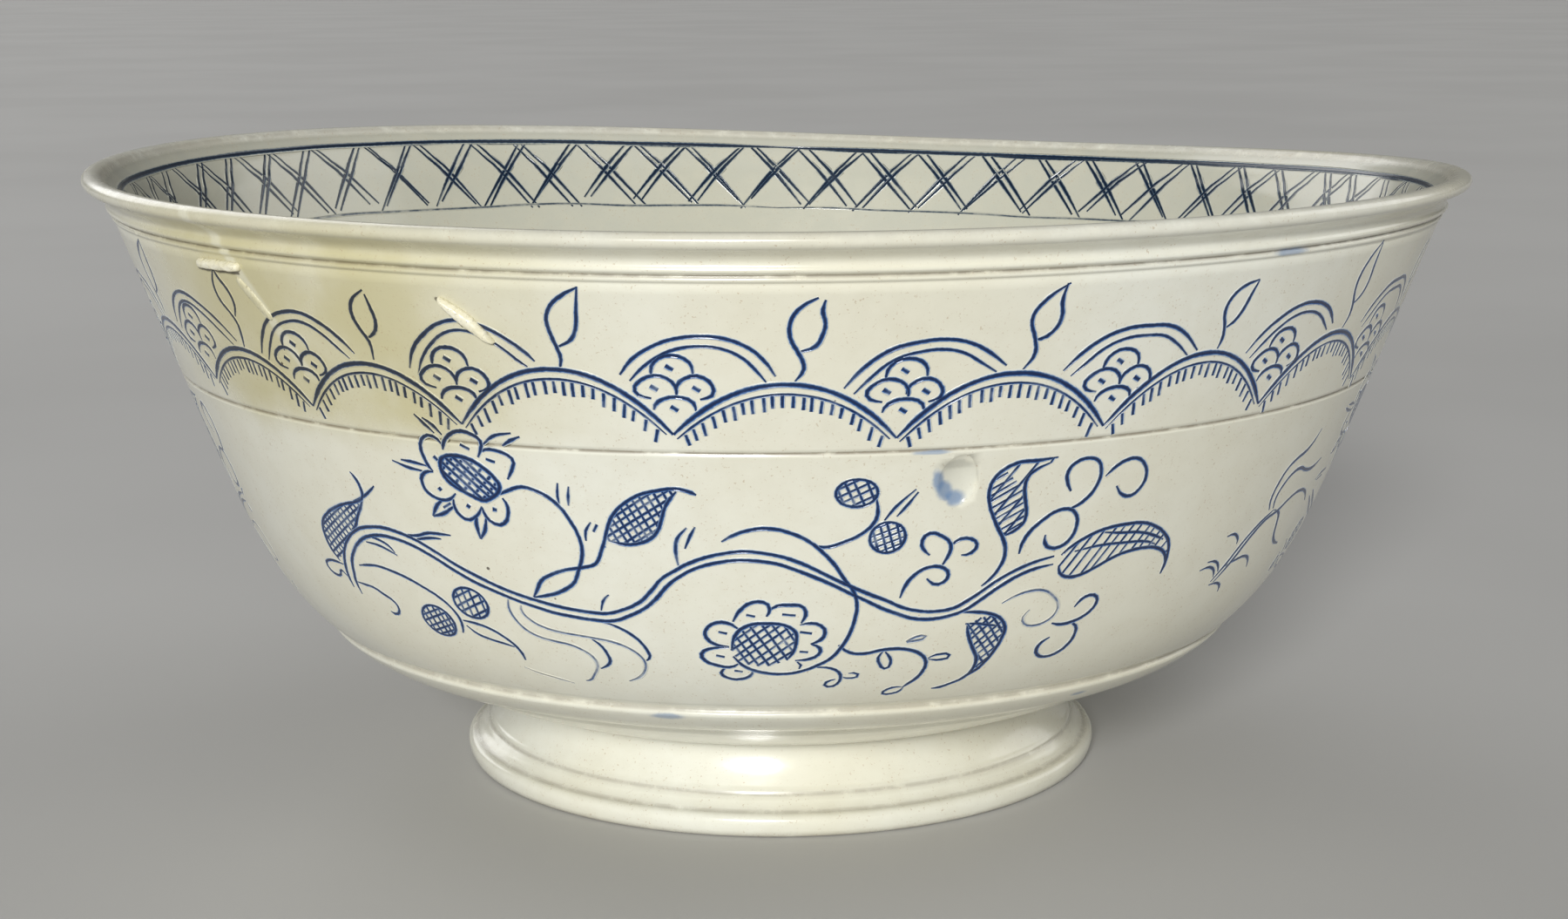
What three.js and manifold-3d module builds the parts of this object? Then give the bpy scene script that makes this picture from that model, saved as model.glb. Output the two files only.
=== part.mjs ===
// Footed punch bowl, thrown and turned in pale stoneware, with two old wall repairs.
// Millimetres, +Z up, origin at the centre of the foot's standing face. The front is -Y.
import * as THREE from 'three';
import { mergeVertices } from 'three/addons/utils/BufferGeometryUtils.js';
import Module from 'manifold-3d';

// Driving sizes
const rimRadius = 145;
const bodyHeight = 109.3;
const footHeight = 19;
const footRadius = 69.4;
const footTread = 4.4;
const neckRadius = 61;
const footWall = 6.5;
const beadRadius = 98.3;
const beadRise = 15.85;
const rimDrop = 7.75;
const wallThickness = 4.8;
const lowWallThickness = 6.4;
const floorThickness = 7;
const ringLineRise = 69.85;
const ringLineDepth = 0.45;

// How the wall flares: the share of it that is straight, and how tightly the rest rounds in
const straightShare = 0.8;
const roundness = 8.7;

// How the rim went out of true in the kiln: [size, direction in degrees from the front, lobes]
const rimWarps = [[2.2, -59, 1], [1.8, 63, 2], [0.4, -21, 3]];
const warpEase = 1.5;

// Old repairs: china rivets across the crack, and filler in it. Each one's drop is measured
// down from the rim moulding, its angle from the front and its tilt from level.
const repairGap = 0.35;
const legRadius = 0.8;
const legDepth = 2.6;
const legInset = 2;
const rivetThickness = 1.3;
const upperRivet = { angle: -46.8, drop: 2.9, length: 14, width: 1.8, tilt: 1, pointed: 0.1 };
const lowerRivet = { angle: -22.8, drop: 8.7, length: 12.5, width: 2.6, tilt: -42, pointed: 0.8 };
const filler = { angle: -43.6, drop: 8.6, length: 10.4, width: 2.4, tilt: -49, depth: 1.1 };

const segments = 80;

const rimTop = footHeight + bodyHeight;
const beadZ = footHeight + beadRise;
const rimBase = rimTop - rimDrop;
const rimBaseRadius = rimRadius - 5.6;
const ringLineZ = footHeight + ringLineRise;

const stoneware = new THREE.MeshStandardMaterial({ color: 0xe8e3cd, roughness: 0.22, metalness: 0 });
const footStoneware = new THREE.MeshStandardMaterial({ color: 0xe4dfc6, roughness: 0.24, metalness: 0 });
const rivetPaint = new THREE.MeshStandardMaterial({ color: 0xd9d2ae, roughness: 0.45, metalness: 0 });
const fillerPlaster = new THREE.MeshStandardMaterial({ color: 0xd8d3b8, roughness: 0.6, metalness: 0 });

// Outside radius of the wall between the lower bead and the rim moulding
function wallRadius(z) {
  const t = (z - beadZ) / (rimBase - beadZ);
  const flare = straightShare * t + (1 - straightShare) * (1 - Math.pow(Math.max(1 - t, 0), roundness));
  return beadRadius + (rimBaseRadius - beadRadius) * flare;
}

// Rise of the wall for each millimetre outwards, as a slope angle from level
function wallSlope(z) {
  const step = 0.5;
  return Math.atan2(2 * step, wallRadius(z + step) - wallRadius(z - step));
}

// Points up the outside of the wall, closer together where it rounds in, with the turned ring line
function outerWall() {
  const points = [];
  const steps = 9;
  for (let i = 0; i <= steps; i++) {
    const z = beadZ + (rimBase - 1.3 - beadZ) * Math.pow(i / steps, 1.35);
    if (Math.abs(z - ringLineZ) > 4) points.push([wallRadius(z), z]);
  }
  points.push([wallRadius(ringLineZ - 0.5), ringLineZ - 0.5]);
  points.push([wallRadius(ringLineZ) - ringLineDepth, ringLineZ]);
  points.push([wallRadius(ringLineZ + 0.5), ringLineZ + 0.5]);
  return points.sort((a, b) => a[1] - b[1]);
}

// The wall's inside, a thickness in from the outside, from the rim down
function innerWall() {
  const points = [];
  const steps = 8;
  for (let i = 0; i <= steps; i++) {
    const share = Math.pow(1 - i / steps, 1.35);
    const z = beadZ + (rimBase - beadZ) * share;
    const slope = wallSlope(z);
    const thickness = lowWallThickness + (wallThickness - lowWallThickness) * share;
    points.push([wallRadius(z) - thickness * Math.sin(slope), z + thickness * Math.cos(slope)]);
  }
  return points;
}

// Moulding round the rim: small bead, cove and heavy roll, as steps from the foot of the moulding
function rimMoulding() {
  const base = [
    [-0.35, -1.1], [0.1, -0.65], [-0.3, 0], [0.9, 0.45], [1.1, 0.95], [0.6, 1.6],
    [0.8, 2.5], [1.9, 3.6], [3.6, 4.3],
  ];
  const roll = [[4.9, -2.6], [5.6, -1.7], [5.35, -0.8], [4.5, -0.2], [3.4, 0], [2.2, -0.3], [1.2, -1.2]];
  const low = base.map(([out, up]) => [rimBaseRadius + out, rimBase + up]);
  const high = roll.map(([out, up]) => [rimBaseRadius + out, rimTop + up]);
  return [...low, ...high];
}

// The floor inside, flat in the middle and rounding up to meet the wall
function innerFloor(edge) {
  const points = [];
  const floorZ = footHeight + floorThickness;
  for (const share of [0.93, 0.84, 0.7, 0.45]) {
    points.push([edge[0] * share, floorZ + (edge[1] - floorZ) * Math.pow(share, 5)]);
  }
  points.push([0, floorZ]);
  return points;
}

function bodyProfile() {
  const inner = innerWall();
  // The lower bead overhangs an underside that runs in to the foot
  const bead = [[-9.1, -5.4], [-8.0, -6.0], [-6.2, -5.6], [-3.4, -3.9], [-0.9, -2.0], [0.1, -0.5], [-0.3, 0]];
  const underEdge = neckRadius + 2;
  const underWidth = beadRadius + bead[0][0] - underEdge;
  const underRise = beadRise + bead[0][1];
  const underside = [[0, 0], [0.28, 0.08], [0.48, 0.28], [0.74, 0.6]];
  return [
    [0, footHeight],
    ...underside.map(([out, up]) => [underEdge + underWidth * out, footHeight + underRise * up]),
    ...bead.map(([out, up]) => [beadRadius + out, beadZ + up]),
    ...outerWall().slice(1),
    ...rimMoulding(),
    ...inner,
    ...innerFloor(inner[inner.length - 1]),
  ];
}

// A turned foot ring: base band, two fine steps, then a concave neck, hollow underneath
function footProfile() {
  const bandTop = 5;
  const step = 7.6;
  const flareZ = step + 1.1;
  const flareRadius = footRadius - 5.4;
  const neck = (share) => [
    neckRadius + (flareRadius - neckRadius) * Math.pow(1 - share, 2.2),
    flareZ + (footHeight - flareZ) * share,
  ];
  const outer = [
    [footRadius - 1.8, 0], [footRadius - 0.6, 1.1], [footRadius, 3], [footRadius - 0.4, bandTop - 0.5],
    [footRadius - 1.3, bandTop], [footRadius - 3.1, bandTop + 1], [footRadius - 4.4, step],
    [footRadius - 4.6, step + 0.7], ...[0, 0.25, 0.5, 0.75, 1].map(neck),
  ];
  const tread = footRadius - 1.8 - footTread;
  const inside = [
    ...[1, 0.5, 0].map(neck).map(([r, z]) => [r - footWall, z]),
    [tread - 1.4, 1.4], [tread - 0.6, 0.3], [tread, 0],
  ];
  return [...outer, ...inside, outer[0]];
}

function turned(profile) {
  const points = profile.map(([r, z]) => new THREE.Vector2(r, z));
  const geometry = new THREE.LatheGeometry(points, segments);
  geometry.rotateX(Math.PI / 2);
  return geometry;
}

const wasm = await Module();
wasm.setup();

function toSolid(geometry) {
  const bare = geometry.clone();
  bare.deleteAttribute('normal');
  bare.deleteAttribute('uv');
  const merged = mergeVertices(bare, 1e-4);
  const vertProperties = new Float32Array(merged.attributes.position.array);
  const triVerts = new Uint32Array(merged.index.array);
  return new wasm.Manifold(new wasm.Mesh({ numProp: 3, vertProperties, triVerts }));
}

function toGeometry(solid) {
  const mesh = solid.getMesh();
  const geometry = new THREE.BufferGeometry();
  geometry.setAttribute('position', new THREE.BufferAttribute(new Float32Array(mesh.vertProperties), 3));
  geometry.setIndex(new THREE.BufferAttribute(new Uint32Array(mesh.triVerts), 1));
  return geometry;
}

// A frame on the outside of the wall: x along the piece, y across it, z straight out of the wall
function wallFrame({ angle, drop, tilt }) {
  const z = rimBase - drop;
  const around = THREE.MathUtils.degToRad(angle);
  const slope = wallSlope(z);
  const outward = new THREE.Vector3(Math.sin(around), -Math.cos(around), 0);
  const along = new THREE.Vector3(Math.cos(around), Math.sin(around), 0);
  const up = outward.clone().multiplyScalar(Math.cos(slope));
  up.z = Math.sin(slope);
  const normal = outward.clone().multiplyScalar(Math.sin(slope));
  normal.z = -Math.cos(slope);
  const frame = new THREE.Matrix4().makeBasis(along, up, normal);
  frame.setPosition(outward.multiplyScalar(wallRadius(z)).setZ(z));
  return frame.multiply(new THREE.Matrix4().makeRotationZ(THREE.MathUtils.degToRad(tilt)));
}

// Outline of a rivet's bar: straight sides when pointed is 0, a lens when it is 1
function barOutline({ length, width, pointed }) {
  const shape = new THREE.Shape();
  const half = length / 2;
  const end = width / 2 * (1 - pointed) + 0.3;
  shape.moveTo(-half, -end / 2);
  shape.quadraticCurveTo(0, -width + end / 2, half, -end / 2);
  shape.lineTo(half, end / 2);
  shape.quadraticCurveTo(0, width - end / 2, -half, end / 2);
  shape.closePath();
  return shape;
}

function rivetLegs(rivet, radius, depth) {
  const reach = rivet.length / 2 - legInset;
  return [-reach, reach].map((x) => {
    const leg = new THREE.CylinderGeometry(radius, radius, depth + repairGap + 0.4, 10);
    leg.rotateX(Math.PI / 2);
    leg.translate(x, 0, (repairGap + 0.4 - depth) / 2);
    return toSolid(leg.applyMatrix4(wallFrame(rivet)));
  });
}

function rivetSolid(rivet) {
  const bevel = 0.35;
  const bar = new THREE.ExtrudeGeometry(barOutline(rivet), {
    depth: rivetThickness - 2 * bevel,
    bevelThickness: bevel,
    bevelSize: bevel,
    bevelOffset: -bevel,
    bevelSegments: 1,
    curveSegments: 8,
  });
  bar.translate(0, 0, repairGap + bevel);
  let solid = toSolid(bar.applyMatrix4(wallFrame(rivet)));
  for (const leg of rivetLegs(rivet, legRadius, legDepth)) solid = solid.add(leg);
  return solid;
}

// The filler's channel, or with a clearance the strip that lies in it
function fillerBlock(clearance) {
  const height = filler.depth + 3;
  const block = new THREE.BoxGeometry(filler.length - 2 * clearance, filler.width - 2 * clearance, height);
  block.translate(0, 0, height / 2 - filler.depth + clearance);
  return toSolid(block.applyMatrix4(wallFrame(filler)));
}

// The kiln warp lifts or drops the wall, growing from the lower bead to the rim
function warped(geometry) {
  const position = geometry.attributes.position;
  for (let i = 0; i < position.count; i++) {
    const z = position.getZ(i);
    const grow = Math.pow(Math.max((z - beadZ) / (rimTop - beadZ), 0), warpEase);
    const around = Math.atan2(position.getX(i), -position.getY(i));
    let lift = 0;
    for (const [size, toward, lobes] of rimWarps) {
      lift += size * Math.cos(lobes * (around - THREE.MathUtils.degToRad(toward)));
    }
    position.setZ(i, z + grow * lift);
  }
  geometry.computeVertexNormals();
  return geometry;
}

const punchBowl = new THREE.Group();

function addPiece(name, geometry, material) {
  const mesh = new THREE.Mesh(geometry, material);
  mesh.name = name;
  punchBowl.add(mesh);
}

const plainBody = toSolid(turned(bodyProfile()));
let body = plainBody.subtract(fillerBlock(0));
for (const rivet of [upperRivet, lowerRivet]) {
  for (const hole of rivetLegs(rivet, legRadius + 0.3, legDepth + 0.3)) body = body.subtract(hole);
}
addPiece('bowl_body', warped(toGeometry(body)), stoneware);
addPiece('foot_ring', turned(footProfile()), footStoneware);
addPiece('crack_filler', warped(toGeometry(fillerBlock(0.3).intersect(plainBody))), fillerPlaster);
addPiece('rivet_upper', warped(toGeometry(rivetSolid(upperRivet))), rivetPaint);
addPiece('rivet_lower', warped(toGeometry(rivetSolid(lowerRivet))), rivetPaint);

export default punchBowl;
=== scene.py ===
import math
import random

import bmesh
import bpy
from mathutils import Matrix, Vector


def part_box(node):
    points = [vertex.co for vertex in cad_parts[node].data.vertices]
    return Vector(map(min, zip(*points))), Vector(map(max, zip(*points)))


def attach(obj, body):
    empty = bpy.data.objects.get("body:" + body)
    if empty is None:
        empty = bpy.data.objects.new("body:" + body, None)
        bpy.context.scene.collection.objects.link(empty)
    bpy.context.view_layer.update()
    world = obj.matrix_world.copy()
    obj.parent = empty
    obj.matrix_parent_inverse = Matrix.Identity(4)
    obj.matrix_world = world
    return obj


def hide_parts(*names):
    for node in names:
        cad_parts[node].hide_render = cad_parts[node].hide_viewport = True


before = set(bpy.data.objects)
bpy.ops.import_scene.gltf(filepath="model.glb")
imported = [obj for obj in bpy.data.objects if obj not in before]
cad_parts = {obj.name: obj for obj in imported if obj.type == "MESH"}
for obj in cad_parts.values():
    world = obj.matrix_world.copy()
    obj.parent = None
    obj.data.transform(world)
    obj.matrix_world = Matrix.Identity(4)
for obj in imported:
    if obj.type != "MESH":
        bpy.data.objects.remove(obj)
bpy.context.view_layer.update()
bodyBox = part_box("bowl_body")
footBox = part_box("foot_ring")
mm = 0.001
weldGap = 0.000002
bodyHeight = 109.3   # in mm, from the joint with the foot to the rim

# Sizes in millimetres. The frame gives the outermost ones.
bowl = {
    "rimRadius": bodyBox[1].x / mm,
    "rimTop": footBox[1].z / mm + bodyHeight,
    "rimDrop": 7.75,
    "rimReach": 5.6,
    "beadRadius": 98.3,
    "beadHeight": 34.85,
    "beadInset": 9.1,
    "beadDrop": 5.4,
    "ringLineHeight": 88.85,
    "ringLineDepth": 0.42,
    "wallThickness": 4.8,
    "lowWallThickness": 6.4,
    "floorHeight": 26.0,
    "straightShare": 0.8,
    "roundness": 8.7,
    "neckRadius": 61.0,
    "segments": 288,
}
foot = {
    "radius": footBox[1].x / mm,
    "height": footBox[1].z / mm,
    "neckRadius": bowl["neckRadius"],
    "wall": 6.5,
    "tread": 4.4,
    "step": 7.6,
    "segments": 224,
}
kilnWarp = {
    "lobes": [(2.2, -59, 1), (1.8, 63, 2), (0.4, -21, 3)],   # size, direction in degrees, lobes
    "ease": 1.5,
}
rimBase = bowl["rimTop"] - bowl["rimDrop"]
rimBaseRadius = bowl["rimRadius"] - bowl["rimReach"]


# Node trees are put together with these
def addNode(tree, kind, inputs=None, **settings):
    node = tree.nodes.new(kind)
    for name, value in settings.items():
        setattr(node, name, value)
    for socket, value in (inputs or {}).items():
        target = node.inputs[socket]
        if isinstance(value, bpy.types.NodeSocket):
            tree.links.new(value, target)
        else:
            target.default_value = value
    return node


def calc(tree, operation, *values, clamp=False):
    node = addNode(tree, "ShaderNodeMath", dict(enumerate(values)), operation=operation, use_clamp=clamp)
    return node.outputs[0]


def product(tree, *values):
    total = values[0]
    for value in values[1:]:
        total = calc(tree, "MULTIPLY", total, value)
    return total


def separate(tree, vector):
    return addNode(tree, "ShaderNodeSeparateXYZ", {0: vector}).outputs


def combine(tree, x, y, z=0.0):
    return addNode(tree, "ShaderNodeCombineXYZ", {0: x, 1: y, 2: z}).outputs[0]


def angleRound(tree, x, y):   # nothing at the front, growing to the right
    return calc(tree, "ARCTAN2", x, calc(tree, "MULTIPLY", y, -1.0))


def position(tree):
    return addNode(tree, "GeometryNodeInputPosition").outputs[0]


def newTree(name, kind, inputs, outputs):
    tree = bpy.data.node_groups.new(name, kind)
    for label, socketKind, value in inputs:
        socket = tree.interface.new_socket(label, in_out="INPUT", socket_type="NodeSocket" + socketKind)
        if value is not None:
            socket.default_value = value
    for label, socketKind in outputs:
        tree.interface.new_socket(label, in_out="OUTPUT", socket_type="NodeSocket" + socketKind)
    start = tree.nodes.new("NodeGroupInput")
    end = tree.nodes.new("NodeGroupOutput")
    return tree, start.outputs, end.inputs


def arrangeNodes(tree):
    column = {node.name: 0 for node in tree.nodes}
    for _ in tree.nodes:
        for link in tree.links:
            column[link.to_node.name] = max(column[link.to_node.name], column[link.from_node.name] + 1)
    filled = {}
    for node in tree.nodes:
        row = filled.get(column[node.name], 0)
        node.location = (column[node.name] * 220, -row * 190)
        filled[column[node.name]] = row + 1


def addToScene(name, data):
    item = bpy.data.objects.new(name, data)
    bpy.context.scene.collection.objects.link(item)
    return item


def growMesh(name, tree, values):
    maker = addToScene(name + ".making", bpy.data.meshes.new(name + ".making"))
    modifier = maker.modifiers.new(name, "NODES")
    modifier.node_group = tree
    for item in tree.interface.items_tree:
        if item.item_type == "SOCKET" and item.in_out == "INPUT" and item.name in values:
            modifier[item.identifier] = values[item.name]
    bpy.context.view_layer.update()
    ready = maker.evaluated_get(bpy.context.evaluated_depsgraph_get())
    mesh = bpy.data.meshes.new_from_object(ready)
    mesh.name = name
    bpy.data.objects.remove(maker)
    report(name, mesh)
    return addToScene(name, mesh)


def report(name, mesh):
    print(f"{name}: {len(mesh.vertices)} points, {sum(len(p.vertices) - 2 for p in mesh.polygons)} triangles")


# The wall's shape, all in millimetres
def wallRadius(height):
    t = (height - bowl["beadHeight"]) / (rimBase - bowl["beadHeight"])
    flare = bowl["straightShare"] * t + (1 - bowl["straightShare"]) * (1 - max(1 - t, 0) ** bowl["roundness"])
    return bowl["beadRadius"] + (rimBaseRadius - bowl["beadRadius"]) * flare


def wallSlope(height):
    return math.atan2(1, wallRadius(height + 0.5) - wallRadius(height - 0.5))


def wallLift(angle, height):
    share = max((height - bowl["beadHeight"]) / (bowl["rimTop"] - bowl["beadHeight"]), 0)
    lobes = [size * math.cos(count * (angle - math.radians(toward)))
             for size, toward, count in kilnWarp["lobes"]]
    return share ** kilnWarp["ease"] * sum(lobes)


def evenly(low, high, count):
    return [low + (high - low) * i / (count - 1) for i in range(count)]


# A smooth line through the given points, each (out, up, grime with painted shade in the creases)
def underside():
    edge = bowl["neckRadius"] + 2
    width = bowl["beadRadius"] - bowl["beadInset"] - edge
    rise = bowl["beadHeight"] - bowl["beadDrop"] - foot["height"]
    middle = [(r, foot["height"], 0.1) for r in evenly(0, edge - 6, 7)]
    curve = [(0, 0, 0.75), (0.1, 0.02, 0.2), (0.28, 0.08, 0.06), (0.48, 0.28, 0.04), (0.74, 0.6, 0.03)]
    curve = [(edge + width * out, foot["height"] + rise * up, grime) for out, up, grime in curve]
    return middle + curve


def lowerBead():
    steps = [(-bowl["beadInset"], -bowl["beadDrop"], 0.25)]
    steps += [(-8.6, -5.95, 0.05), (-8.0, -6.05, 0), (-6.9, -5.85, 0), (-5.0, -4.85, 0), (-3.2, -3.65, 0),
              (-1.5, -2.35, 0), (-0.45, -1.4, 0), (-0.02, -0.85, 0.05), (-0.1, -0.4, 0.2),
              (-0.42, -0.1, 0.55), (-0.42, 0.25, 0.45), (0.0, 0.75, 0.1)]
    return [(bowl["beadRadius"] + out, bowl["beadHeight"] + up, grime) for out, up, grime in steps]


def outerWall():
    line = bowl["ringLineHeight"]
    heights = [bowl["beadHeight"] + 1.6 + (rimBase - 3.2 - bowl["beadHeight"]) * share ** 1.2
               for share in evenly(0, 1, 64)]
    heights = [z for z in heights if abs(z - line) > 1.1]
    heights += [line + d for d in (-0.8, -0.38, -0.12, 0.12, 0.42, 0.9)]
    points = []
    for z in sorted(heights):
        cut = 1.0 if abs(z - line) < 0.2 else 0.0
        points.append((wallRadius(z) - bowl["ringLineDepth"] * cut, z, 0.8 * cut))
    return points


def rimMoulding():
    low = [(-0.75, -1.35, 0), (-0.35, -1.0, 0), (0.0, -0.8, 0), (0.12, -0.45, 0), (-0.05, -0.12, 0.3),
           (-0.28, 0.08, 0.75), (-0.1, 0.3, 0.55), (0.55, 0.5, 0.1), (1.0, 0.85, 0), (1.1, 1.2, 0),
           (0.9, 1.6, 0.02), (0.72, 2.1, 0.04), (0.85, 2.7, 0.04), (1.35, 3.3, 0.04), (2.2, 3.9, 0.03),
           (3.5, 4.5, 0.03)]
    roll = [(4.75, -2.75, 0.04), (5.35, -2.2, 0.06), (5.6, -1.6, 0.1), (5.5, -0.95, 0.14),
            (5.1, -0.45, 0.16), (4.4, -0.1, 0.16), (3.5, 0.0, 0.16), (2.5, -0.15, 0.22),
            (1.7, -0.6, 0.45), (1.2, -1.2, 0.35)]
    return ([(rimBaseRadius + out, rimBase + up, grime) for out, up, grime in low]
            + [(rimBaseRadius + out, bowl["rimTop"] + up, grime) for out, up, grime in roll])


# Down the inside, from the rim's inner edge to the middle of the floor
def innerWall():
    def inside(share):
        height = bowl["beadHeight"] + (rimBase - bowl["beadHeight"]) * share
        slope = wallSlope(height)
        thickness = bowl["lowWallThickness"] + (bowl["wallThickness"] - bowl["lowWallThickness"]) * share
        return wallRadius(height) - thickness * math.sin(slope), height + thickness * math.cos(slope), 0

    lip = [(0.5, -1.95, 0.15), (-0.4, -2.7, 0), (-1.4, -3.5, 0), (-2.35, -4.4, 0), (-3.1, -5.3, 0),
           (-3.75, -6.3, 0), (-4.3, -7.4, 0)]
    lip = [(rimBaseRadius + out, bowl["rimTop"] + up, grime) for out, up, grime in lip]
    wall = [inside(share ** 1.2) for share in evenly(0.965, 0, 46)]
    edge = wall[-1]
    floor = [(edge[0] * share, bowl["floorHeight"] + (edge[1] - bowl["floorHeight"]) * share ** 5, 0)
             for share in [0.975, 0.95, 0.92, 0.88, 0.84, 0.79, 0.73, 0.66, 0.58, 0.48, 0.36, 0.24, 0.12, 0]]
    return lip + wall + floor


def footOutline():
    radius, height, step = foot["radius"], foot["height"], foot["step"]
    flareRadius, flareHeight = radius - 5.4, step + 1.1

    def neck(share):
        return (foot["neckRadius"] + (flareRadius - foot["neckRadius"]) * (1 - share) ** 2.2,
                flareHeight + (height - flareHeight) * share)

    band = [(-1.8, 0, 0.5), (-1.2, 0.25, 0.4), (-0.7, 0.8, 0.2), (-0.3, 1.6, 0), (0, 2.9, 0),
            (-0.08, 3.8, 0), (-0.4, 4.45, 0.05), (-1.0, 4.85, 0.1), (-1.7, 4.95, 0.4),
            (-2.1, 5.2, 0.45), (-2.5, 5.6, 0.1), (-3.1, 6.0, 0), (-3.8, 6.7, 0), (-4.3, 7.4, 0.1),
            (-4.75, 7.75, 0.45), (-4.85, 8.1, 0.4), (-4.9, 8.45, 0.1)]
    band = [(radius + out, up, grime) for out, up, grime in band]
    outer = [neck(share) + (0.55 * max(0, share - 0.85) / 0.15,) for share in evenly(0.02, 1, 26)]
    inner = [(r - foot["wall"], z, 0.25) for r, z in map(neck, evenly(1, 0.05, 12))]
    tread = [(-2.6, 5.5, 0.2), (-2.0, 3.2, 0.2), (-1.4, 1.4, 0.3), (-0.6, 0.3, 0.4), (0, 0, 0.6),
             (1.4, 0, 0.5), (3, 0, 0.5)]
    tread = [(radius - 1.8 - foot["tread"] + out, up, grime) for out, up, grime in tread]
    return band + outer + inner + tread + [band[0]]


# A flat line of points: x is out and y is up. The point radius holds the grime and the painted
# shade in the grooves and creases, and the tilt says inside or outside.
def outlineCurve(name, points, firstInside=None):
    curve = bpy.data.curves.new(name, "CURVE")
    curve.dimensions = "3D"
    spline = curve.splines.new("POLY")
    spline.points.add(len(points) - 1)
    for i, (spot, (out, up, grime)) in enumerate(zip(spline.points, points)):
        spot.co = (out * mm, up * mm, 0, 1)
        spot.radius = grime
        spot.tilt = 1.0 if firstInside is not None and i >= firstInside else 0.0
    return addToScene(name, curve)


# Geometry node groups shared by everything on the wall
def kilnWarpGroup():
    lobes = range(1, len(kilnWarp["lobes"]) + 1)
    inputs = [("Geometry", "Geometry", None), ("Lower Bead", "Float", 0.035),
              ("Rim Top", "Float", 0.128), ("Ease", "Float", 1.5)]
    for i in lobes:
        inputs += [(f"Lift {i}", "Float", 0.0), (f"Toward {i}", "Float", 0.0),
                   (f"Lobes {i}", "Float", 1.0)]
    tree, start, end = newTree("Kiln Warp", "GeometryNodeTree", inputs, [("Geometry", "Geometry")])
    x, y, z = separate(tree, position(tree))
    angle = angleRound(tree, x, y)
    lift = 0.0
    for i in lobes:
        turned = calc(tree, "SUBTRACT", angle, start[f"Toward {i}"])
        wave = calc(tree, "COSINE", calc(tree, "MULTIPLY", turned, start[f"Lobes {i}"]))
        lift = calc(tree, "MULTIPLY_ADD", wave, start[f"Lift {i}"], lift)
    above = calc(tree, "SUBTRACT", z, start["Lower Bead"])
    share = calc(tree, "DIVIDE", above, calc(tree, "SUBTRACT", start["Rim Top"], start["Lower Bead"]))
    grow = calc(tree, "POWER", calc(tree, "MAXIMUM", share, 0.0), start["Ease"])
    offset = combine(tree, 0.0, 0.0, calc(tree, "MULTIPLY", grow, lift))
    moved = addNode(tree, "GeometryNodeSetPosition", {"Geometry": start["Geometry"], "Offset": offset})
    tree.links.new(moved.outputs[0], end["Geometry"])
    arrangeNodes(tree)
    return tree


def addKilnWarp(tree, geometry):
    values = {"Geometry": geometry, "Lower Bead": bowl["beadHeight"] * mm, "Rim Top": bowl["rimTop"] * mm,
              "Ease": kilnWarp["ease"]}
    for i, (size, toward, lobes) in enumerate(kilnWarp["lobes"], 1):
        values.update({f"Lift {i}": size * mm, f"Toward {i}": math.radians(toward), f"Lobes {i}": lobes})
    return addNode(tree, "GeometryNodeGroup", values, node_tree=kilnWarpTree).outputs["Geometry"]


def named(tree, geometry, name, value, kind="FLOAT", domain="POINT"):
    values = {"Geometry": geometry, "Name": name, "Value": value}
    return addNode(tree, "GeometryNodeStoreNamedAttribute", values, data_type=kind, domain=domain).outputs[0]


def finishTree(tree, geometry, start, end):
    smooth = addNode(tree, "GeometryNodeSetShadeSmooth", {"Geometry": geometry}).outputs[0]
    real = addNode(tree, "GeometryNodeRealizeInstances", {"Geometry": smooth}).outputs[0]
    painted = addNode(tree, "GeometryNodeSetMaterial", {"Geometry": real, "Material": start["Material"]})
    tree.links.new(painted.outputs[0], end["Geometry"])
    arrangeNodes(tree)


# Turns an outline about the upright axis, as on the wheel, and warps the result
def turningTree():
    inputs = [("Outline", "Object", None), ("Segments", "Int", 128), ("Material", "Material", None)]
    tree, start, end = newTree("Turn on the Wheel", "GeometryNodeTree", inputs, [("Geometry", "Geometry")])
    outline = addNode(tree, "GeometryNodeObjectInfo", {"Object": start["Outline"]}).outputs["Geometry"]
    size = addNode(tree, "GeometryNodeAttributeDomainSize", {"Geometry": outline}, component="CURVE")
    count = size.outputs[0]
    columns = calc(tree, "ADD", start["Segments"], 1.0)
    grid = addNode(tree, "GeometryNodeMeshGrid", {"Size X": 1.0, "Size Y": 1.0, "Vertices X": columns,
                                                  "Vertices Y": count}).outputs
    place = position(tree)
    x, y, _ = separate(tree, place)
    angle = calc(tree, "MULTIPLY", x, math.tau)
    row = calc(tree, "MULTIPLY", calc(tree, "ADD", y, 0.5), calc(tree, "SUBTRACT", count, 1.0))
    row = calc(tree, "ROUND", row)

    def onOutline(value, kind):
        return addNode(tree, "GeometryNodeSampleIndex", {"Geometry": outline, "Value": value, "Index": row},
                       data_type=kind, domain="POINT").outputs["Value"]

    radius = addNode(tree, "GeometryNodeInputRadius").outputs[0]
    tilt = addNode(tree, "GeometryNodeInputCurveTilt").outputs[0]
    out, up, _ = separate(tree, onOutline(place, "FLOAT_VECTOR"))
    x = calc(tree, "MULTIPLY", out, calc(tree, "SINE", angle))
    y = product(tree, out, calc(tree, "COSINE", angle), -1.0)
    body = named(tree, grid["Mesh"], "OFBake", grid["UV Map"], "FLOAT2", "CORNER")
    body = named(tree, body, "grime", onOutline(radius, "FLOAT"))
    body = named(tree, body, "inside", onOutline(tilt, "FLOAT"))
    body = addNode(tree, "GeometryNodeSetPosition", {"Geometry": body, "Position": combine(tree, x, y, up)})
    body = addNode(tree, "GeometryNodeMergeByDistance", {"Geometry": body.outputs[0], "Distance": weldGap})
    finishTree(tree, addKilnWarp(tree, body.outputs[0]), start, end)
    return tree


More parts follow.
